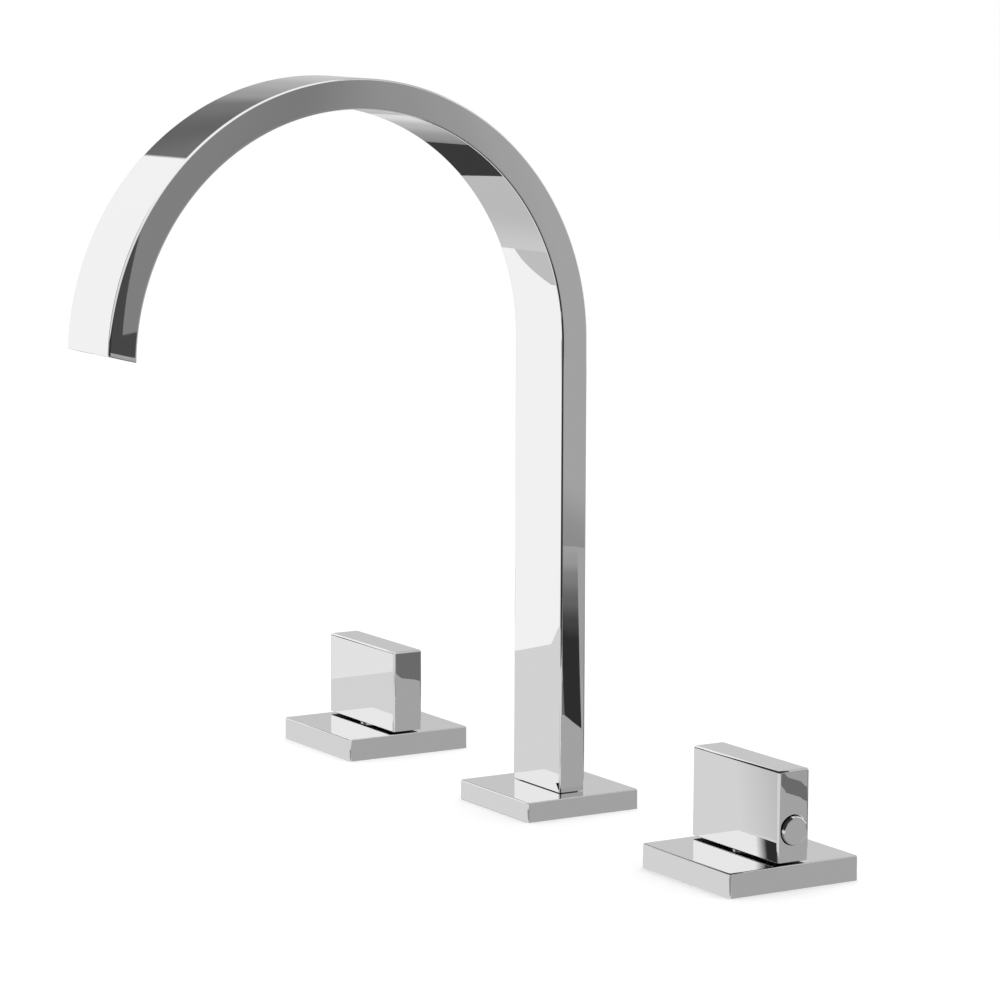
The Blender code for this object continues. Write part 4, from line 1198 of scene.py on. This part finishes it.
def valve_body(prefix, side):
    """A valve body: bored shank with a thread, hexagon, threaded inlet and threaded side port."""
    fittings = bpy.context.scene.faucet_fittings
    low, high = box(f"{prefix}_valve_body")
    nut = f"{prefix}_lock_nut"
    nut_bottom = box(nut)[0].z
    cartridge = f"{prefix}_cartridge_body"
    x = middle(cartridge).x
    radius = half_flats_of(nut) - LOCK_NUT_WALL - FIT
    bore = radius - VALVE_WALL
    shoulder = half_width(cartridge) + FIT
    shoulder_bottom = high.z - VALVE_SHOULDER - FIT
    seat = box(cartridge)[0].z - FIT
    hex_bottom = seat - VALVE_HALF_HEX
    hex_top = seat + VALVE_HALF_HEX
    inlet_bottom = low.z + INLET_END
    inlet_top = hex_bottom - INLET_NECK
    thread_bottom = nut_bottom - VALVE_SPARE
    thread_top = high.z - VALVE_BEVEL
    shape = bmesh.new()
    core = add_thread(shape, radius, fittings.shank_pitch, thread_bottom, thread_top)
    inlet_core = add_thread(shape, INLET_RADIUS, fittings.inlet_pitch, inlet_bottom, inlet_top)
    outside = rings_of([(inlet_core, inlet_top), (inlet_core, hex_bottom)])
    outside += turned_hexagon(radius + VALVE_HEX_STEP, hex_bottom, hex_top, VALVE_LAND)
    outside += rings_of([(radius, hex_top), (radius, thread_bottom - VALVE_RUNOUT), (core, thread_bottom)])
    add_rings(shape, outside)
    inside = [
        (core, thread_top),
        (core - VALVE_BEVEL, high.z),
        (shoulder, high.z),
        (shoulder, shoulder_bottom),
        (bore, shoulder_bottom),
        (bore, seat),
        (INLET_BORE, seat),
        (INLET_BORE, low.z + VALVE_BEVEL),
        (INLET_BORE + VALVE_BEVEL, low.z),
        (inlet_core - INLET_BEVEL, low.z),
        (inlet_core, inlet_bottom),
    ]
    add_rings(shape, rings_of(inside))
    body = bare_object(f"{prefix}_valve_casting", sewn(shape))
    port_level = nut_bottom - VALVE_PORT_DROP - PORT_RADIUS
    reach = abs((low.x if side > 0 else high.x) - x)
    carved(body, [along_x(port_rod(bore + FIT, reach, radius + VALVE_PORT_PLAIN), -side, port_level)], "UNION")
    port_bore = turned([(PORT_BORE, 0.0), (PORT_BORE, reach + OVERRUN)], BORE_ROUND)
    carved(body, [along_x(port_bore, -side, port_level)])
    moved(body.data, x)
    return body


class FAUCET_OT_inner_parts(bpy.types.Operator):
    """Gives every CAD piece that still stands for itself its finish"""

    bl_idname = "faucet.inner_parts"
    bl_label = "Inner parts"

    def execute(self, context):
        for name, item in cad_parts.items():
            if item.hide_render:
                continue
            found = item.data.materials[0].name if item.data.materials else ""
            finish = next((word for word in FINISHES if found.endswith(word)), None) or guess_finish(name)
            item.data.materials.clear()
            item.data.materials.append(material(finish))
        return {"FINISHED"}


FINISH_WORDS = {
    "disc": "ceramic",
    "seal": "rubber",
    "ring": "rubber",
    "gasket": "rubber",
    "washer": "rubber",
    "clip": "steel",
    "screw": "steel",
}


def guess_finish(name):
    """The finish of a CAD piece whose material names none, from a word in the piece's name."""
    return next((finish for word, finish in FINISH_WORDS.items() if word in name), "brass")


# Stage


def card_material(name, stops, across, softness, one_sided):
    """Plain glowing card: its level follows the stops along one side, and it thins out at its edges."""
    made = bpy.data.materials.new(name)
    made.use_nodes = True
    tree = made.node_tree
    tree.nodes.clear()
    place = tree.nodes.new("ShaderNodeUVMap")
    parts = tree.nodes.new("ShaderNodeSeparateXYZ")
    tree.links.new(place.outputs["UV"], parts.inputs[0])
    ramp = tree.nodes.new("ShaderNodeValToRGB")
    ramp.color_ramp.interpolation = "EASE"
    while len(ramp.color_ramp.elements) < len(stops):
        ramp.color_ramp.elements.new(0.5)
    for element, (position, level) in zip(ramp.color_ramp.elements, stops):
        element.position = position
        element.color = (level, level, level, 1.0)
    tree.links.new(parts.outputs["X" if across else "Y"], ramp.inputs["Fac"])
    glow = tree.nodes.new("ShaderNodeEmission")
    tree.links.new(ramp.outputs["Color"], glow.inputs["Color"])
    clear = tree.nodes.new("ShaderNodeBsdfTransparent")
    mask = None
    for axis, soft in zip("XY", softness):
        rising = spread(tree, parts.outputs[axis], 0.0, 1.0, 0.0, max(soft, 1e-4))
        falling = spread(tree, parts.outputs[axis], 1.0, 0.0, 1.0 - max(soft, 1e-4), 1.0)
        edge = maths(tree, "MULTIPLY", rising, falling)
        mask = edge if mask is None else maths(tree, "MULTIPLY", mask, edge)
    if one_sided:
        side = tree.nodes.new("ShaderNodeNewGeometry")
        front = maths(tree, "SUBTRACT", 1.0, side.outputs["Backfacing"])
        mask = maths(tree, "MULTIPLY", mask, front)
    mix = tree.nodes.new("ShaderNodeMixShader")
    tree.links.new(mask, mix.inputs["Fac"])
    tree.links.new(clear.outputs[0], mix.inputs[1])
    tree.links.new(glow.outputs[0], mix.inputs[2])
    result = tree.nodes.new("ShaderNodeOutputMaterial")
    tree.links.new(mix.outputs[0], result.inputs["Surface"])
    return made


def card(name, corners, stops, across=False, softness=(0.0, 0.0), one_sided=False):
    """A studio card that only mirrors see; corners run from low left round to high left.

    Its level is one number, or stops from its low side to its high one (or across it, from left to right)."""
    if not isinstance(stops, list):
        stops = [(0.0, stops), (1.0, stops)]
    mesh = bpy.data.meshes.new(name)
    mesh.from_pydata([tuple(point) for point in corners], [], [(0, 1, 2, 3)])
    layer = mesh.uv_layers.new(name="card")
    for loop, place in zip(layer.data, ((0, 0), (1, 0), (1, 1), (0, 1))):
        loop.uv = place
    item = linked(name, mesh)
    mesh.materials.append(card_material(name, stops, across, softness, one_sided))
    item.visible_camera = False
    item.visible_diffuse = False
    item.visible_shadow = False
    return item


def standing_card(name, start, end, low, high, stops, **more):
    """An upright card between two floor points, from one height to another."""
    corners = [(*start, low), (*end, low), (*end, high), (*start, high)]
    return card(name, corners, stops, **more)


def lying_card(name, corners, stops, height=-0.001, **more):
    """A level card given by its corners on the ground, just below the deck unless a height is given."""
    return card(name, [(x, y, height) for x, y in corners], stops, **more)


def seen_by_mirrors(tree):
    """A factor that is one for camera, glossy and transmission rays."""
    path = tree.nodes.new("ShaderNodeLightPath")
    total = maths(tree, "ADD", path.outputs["Is Camera Ray"], path.outputs["Is Glossy Ray"])
    return maths(tree, "MINIMUM", maths(tree, "ADD", total, path.outputs["Is Transmission Ray"]), 1.0)


class FAUCET_OT_stage(bpy.types.Operator):
    """Lays the floor, sets the light and the studio cards, and places the camera"""

    bl_idname = "faucet.stage"
    bl_label = "Stage"

    def execute(self, context):
        stage = context.scene.faucet_stage
        self.lay_floor(stage)
        self.light_room(stage)
        self.set_cards(stage)
        self.place_camera(stage)
        context.scene.view_settings.view_transform = "Standard"
        return {"FINISHED"}

    def lay_floor(self, stage):
        """A wide pale floor that keeps the object's shadow and that mirrors don't see."""
        mesh = bpy.data.meshes.new("floor")
        far = FLOOR_HALF
        mesh.from_pydata([(-far, -far, 0), (far, -far, 0), (far, far, 0), (-far, far, 0)], [], [(0, 1, 2, 3)])
        floor = linked("floor", mesh)
        made = bpy.data.materials.new("floor")
        made.use_nodes = True
        tree = made.node_tree
        shader = tree.nodes["Principled BSDF"]
        shader.inputs["Base Color"].default_value = (*stage.floor, 1.0)
        shader.inputs["Roughness"].default_value = 1.0
        shader.inputs["Specular IOR Level"].default_value = 0.0
        shader.inputs["Emission Color"].default_value = (1.0, 1.0, 1.0, 1.0)
        lift = maths(tree, "MULTIPLY", seen_by_mirrors(tree), 1.0 - stage.floor[0] * stage.room_light)
        tree.links.new(lift, shader.inputs["Emission Strength"])
        mesh.materials.append(made)
        floor.visible_glossy = False

    def light_room(self, stage):
        """Even light from all round, white to camera and mirrors, and a soft lamp above."""
        world = bpy.data.worlds.new("room")
        bpy.context.scene.world = world
        world.use_nodes = True
        tree = world.node_tree
        background = tree.nodes["Background"]
        background.inputs["Color"].default_value = (1.0, 1.0, 1.0, 1.0)
        level = spread(tree, seen_by_mirrors(tree), stage.room_light, 1.0)
        tree.links.new(level, background.inputs["Strength"])
        lamp = bpy.data.lights.new("soft_light", "AREA")
        lamp.shape = "SQUARE"
        lamp.size = LAMP_SIZE
        lamp.energy = stage.key_light
        item = linked("soft_light", lamp)
        item.location = LAMP_PLACE
        item.rotation_euler = (Vector(LAMP_AIM) - item.location).to_track_quat("-Z", "Y").to_euler()
        item.visible_glossy = False

    def set_cards(self, stage):
        """The set that mirrors see: a pale board with a dark gap behind it, grey walls and dark flags."""
        self.set_floor(stage)
        self.set_left_side(stage)
        self.set_right_side(stage)

    def set_floor(self, stage):
        """The level cards under and round the groups, from the pale front to the dark gap behind."""
        board, shade, dark = stage.board, stage.shade, stage.flag
        corners = [(-0.296, -0.42), (0.34, -0.42), (0.34, -0.0281), (-0.271, -0.0281)]
        lying_card("board", corners, board)
        corners = [(-0.271, -0.0281), (-0.11, -0.0281), (-0.11, 0.09), (-0.262, 0.09)]
        lying_card("board_rear", corners, board, height=-0.0013)
        corners = [(-0.311, -0.24), (-0.27, -0.24), (-0.27, -0.105), (-0.2805, -0.105)]
        lying_card("board_bulge", corners, board)
        corners = [(-0.280, -0.105), (-0.27, -0.105), (-0.27, -0.055), (-0.2765, -0.055)]
        lying_card("board_side", corners, board)
        corners = [(-0.28, -0.42), (-0.290, -0.194), (-0.336, -0.229), (-0.56, -0.42)]
        lying_card("board_tab", corners, board)
        dusk = [(-0.14, -0.195), (0.072, -0.055), (0.17, -0.055), (-0.02, -0.195)]
        lying_card("dusk", dusk, 0.48, across=True, softness=(0.0, 0.5), height=-0.0008)
        corners = [(-0.11, -0.0281), (0.34, -0.0281), (0.34, 0.097), (0.045, 0.086)]
        lying_card("shade", corners, shade)
        corners = [(-0.11, -0.0281), (0.045, 0.086), (-0.02, 0.125), (-0.2, 0.125)]
        lying_card("shade_end", corners, shade)
        floor = [(0.0, 0.165), (0.06, 0.165), (0.13, 0.20), (0.19, 0.30), (0.28, shade), (1.0, shade)]
        corners = [(-0.2, 0.085), (1.6, 0.085), (1.6, 1.6), (-0.2, 1.6)]
        lying_card("rear_floor", corners, floor, height=-0.0012)
        corners = [(0.25, 0.1115), (0.36, 0.115), (0.36, 0.2), (0.25, 0.2)]
        lying_card("rear_sheet", corners, 0.38, softness=(0.1, 0.0))
        corners = [(0.130, 0.0870), (0.20, 0.0880), (0.187, 0.1020), (0.1552, 0.0948)]
        lying_card("shade_rim", corners, shade, height=-0.0009)
        edge = [(0.0, 0.43), (0.15, 0.41), (0.3, 0.38), (1.0, 0.40)]
        corners = [(0.137, 0.1055), (0.1554, 0.0944), (0.5854, 0.3679), (0.567, 0.379)]
        lying_card("gap_edge", corners, edge, height=-0.0009)
        gap = [(0.0, dark), (0.415, dark), (0.52, 0.065), (0.643, 0.14), (0.80, 0.235), (0.90, 0.35), (1.0, 0.39)]
        corners = [(0.1554, 0.0944), (0.186, 0.1015), (0.60, 0.35), (0.5854, 0.3679)]
        lying_card("gap", corners, gap, height=-0.0008)
        corners = [(0.34, -0.30), (0.52, -0.30), (0.52, 0.09), (0.34, 0.097)]
        lying_card("board_right", corners, 0.6)
        corners = [(0.03, -0.04), (0.1, -0.5), (0.9, -0.26), (0.22, 0.02)]
        lying_card("edge_shadow", corners, dark, height=0.05)
        corners = [(0.167, -0.062), (0.2, -0.062), (0.21, -0.03), (0.169, -0.03)]
        lying_card("right_corner", corners, 0.3, height=-0.0006)
        corners = [(-0.107, -0.057), (-0.066, -0.033), (-0.066, -0.03), (-0.105, -0.03)]
        lying_card("left_corner", corners, 0.3, height=-0.0006)
        corners = [(0.027, -0.053), (0.062, -0.033), (0.062, -0.027), (0.03, -0.027)]
        lying_card("spout_corner", corners, 0.3, height=-0.0006)

    def set_left_side(self, stage):
        """What the spout's curved faces and the tops see on the left."""
        corners = [(-0.40, -0.14), (-0.278, -0.14), (-0.265, -0.0281), (-0.40, -0.0281)]
        lying_card("left_pale", corners, 0.86, height=-0.0011)
        raised = 0.018
        corners = [(-0.46, -0.1615), (-0.305, -0.1615), (-0.30, 0.004), (-0.46, -0.024)]
        lying_card("left_sheet", corners, [(0.0, 0.66), (0.5, 0.55), (1.0, 0.55)], height=raised)
        corners = [(-0.470, -0.256), (-0.448, -0.256), (-0.337, -0.1615), (-0.407, -0.1615)]
        lying_card("left_tongue", corners, 0.58, height=raised)
        corners = [(-0.58, -0.046), (-0.29, 0.0055), (-0.31, 0.0944), (-0.66, 0.0944)]
        lying_card("left_gap", corners, 0.045, height=raised)
        corners = [(-0.70, 0.103), (-0.36, 0.103), (-0.9, 0.95), (-1.6, 0.95)]
        lying_card("left_floor", corners, [(0.0, 0.26), (0.04, 0.33), (0.15, 0.5), (0.335, 0.75), (1.0, 0.8)])
        wall = [(0.0, 0.30), (0.28, 0.52), (0.45, stage.wall), (0.50, 0.58), (0.574, 0.46)]
        wall += [(0.645, 0.36), (0.69, 0.20), (0.76, 0.14), (0.80, 0.18), (1.0, 0.20)]
        standing_card("rear_wall", (-1.6, -0.23), (-0.5, 1.7), -0.6, 1.5, wall, softness=(0.01, 0.02))
        flag = [(0.0, 0.4), (0.6, 0.1), (1.0, stage.flag)]
        start, end = (-0.45, -1.75), (-1.2124, -0.9685)
        standing_card("left_flag", start, end, -0.02, 1.4, flag, across=True, softness=(0.012, 0.03))

    def set_right_side(self, stage):
        """The walls that the faces towards the right see, with a dark band round them at deck level."""
        dark = stage.flag
        side = [(0.0, 0.41), (0.636, 0.41), (0.664, 0.39), (0.687, 0.345), (0.71, 0.315), (0.756, 0.22)]
        side += [(0.802, 0.24), (1.0, 0.25)]
        start, end = Vector((0.85, 1.81)), Vector((1.75, 0.35))
        standing_card("side_wall", start, end, -1.2, 1.2, side, across=True)
        nearer = Vector((-0.01, -0.005))
        tip = start.lerp(end, 0.8396) + nearer
        standing_card("tip_flag", tip, end + nearer, -0.275, 0.35, dark + 0.04, softness=(0.0, 0.1))
        standing_card("tip_foot", start.lerp(end, 0.79) + nearer, tip, -0.4, 0.018, dark + 0.04)
        wall = [(0.0, 0.45), (0.3, 0.5), (0.6, 0.75), (1.0, 0.9)]
        standing_card("right_wall", (1.75, 0.35), (0.9, -1.6), -1.2, 1.3, wall)
        standing_card("front_wall", (0.9, -1.6), (-0.45, -1.75), -1.2, 1.3, wall, softness=(0.1, 0.0))
        standing_card("right_flag", (1.74, 0.345), (0.89, -1.59), -0.275, 0.3, dark, softness=(0.0, 0.1))
        standing_card("front_flag", (0.89, -1.59), (0.0, -1.69), -0.275, 0.3, dark, softness=(0.05, 0.1))
        # Painted reflections: each white glint card gives a handle's top edge its bright line, and each dark line
        # card the thin dark line below it; only mirrors see them.
        for name, x, top in (("left", -0.2, 0.095), ("right", 0.075, 0.12)):
            corners = [(x, -0.026, 0.036), (x, 0.05, 0.071), (x, 0.05, top), (x, -0.026, top)]
            card(f"{name}_glint", corners, 1.0, one_sided=True)
            standing_card(f"{name}_line", (x, -0.075), (x, -0.028), 0.040, 0.062, dark, one_sided=True)
        # Painted shadow: a black sliver lying on the spout plate at the column's foot, seen only in the column's
        # mirror faces as a dark streak at its foot.
        corners = [(0.0012, -0.0155), (0.0125, -0.0093), (0.0125, -0.0080), (0.0009, -0.0142)]
        lying_card("foot_line", corners, 0.0, height=0.0081, one_sided=True)
        corners = [(-0.8, 0.7, 2.1), (1.6, 0.7, 2.1), (1.6, 2.3, 2.1), (-0.8, 2.3, 2.1)]
        card("ceiling", corners, 0.5, softness=(0.1, 0.1))

    def place_camera(self, stage):
        turn, tilt, roll = stage.camera_turn, stage.camera_tilt, stage.camera_roll
        forward = Vector((-math.sin(turn) * math.cos(tilt), math.cos(turn) * math.cos(tilt), -math.sin(tilt)))
        level = Vector((math.cos(turn), math.sin(turn), 0.0))
        upright = level.cross(forward)
        right = math.cos(roll) * level + math.sin(roll) * upright
        up = math.cos(roll) * upright - math.sin(roll) * level
        lens = bpy.data.cameras.new("camera")
        lens.lens = stage.focal_length
        lens.sensor_width = 36.0
        lens.clip_end = 100.0
        lens.shift_x, lens.shift_y = stage.shift
        camera = linked("camera", lens)
        turned_to = Matrix((right, up, -forward)).transposed().to_4x4()
        camera.matrix_world = Matrix.Translation(Vector(stage.camera_place)) @ turned_to
        bpy.context.scene.camera = camera


STEPS = (
    FAUCET_OT_spout,
    FAUCET_OT_plates,
    FAUCET_OT_handles,
    FAUCET_OT_buttons,
    FAUCET_OT_necks,
    FAUCET_OT_seals,
    FAUCET_OT_clamps,
    FAUCET_OT_shank,
    FAUCET_OT_tee,
    FAUCET_OT_valves,
    FAUCET_OT_inner_parts,
    FAUCET_OT_stage,
)

SETTINGS = {
    "faucet_spout": FaucetSpout,
    "faucet_plates": FaucetPlates,
    "faucet_handles": FaucetHandles,
    "faucet_fittings": FaucetFittings,
    "faucet_finishes": FaucetFinishes,
    "faucet_stage": FaucetStage,
}


class FAUCET_PT_panel(bpy.types.Panel):
    """Lists the faucet's sizes and the steps that build it"""

    bl_idname = "FAUCET_PT_panel"
    bl_label = "Faucet"
    bl_space_type = "VIEW_3D"
    bl_region_type = "UI"
    bl_category = "Faucet"

    def draw(self, context):
        for name, settings in SETTINGS.items():
            column = self.layout.box().column(align=True)
            for title in settings.__annotations__:
                column.prop(getattr(context.scene, name), title)
        for step in STEPS:
            self.layout.operator(step.bl_idname)


CLASSES = (*SETTINGS.values(), *STEPS, FAUCET_PT_panel)


def register():
    for item in CLASSES:
        bpy.utils.register_class(item)
    for name, settings in SETTINGS.items():
        setattr(bpy.types.Scene, name, PointerProperty(type=settings))


def unregister():
    for name in SETTINGS:
        delattr(bpy.types.Scene, name)
    for item in reversed(CLASSES):
        bpy.utils.unregister_class(item)


def main():
    register()
    for step in STEPS:
        group, name = step.bl_idname.split(".")
        getattr(getattr(bpy.ops, group), name)()


if __name__ == "__main__":
    main()
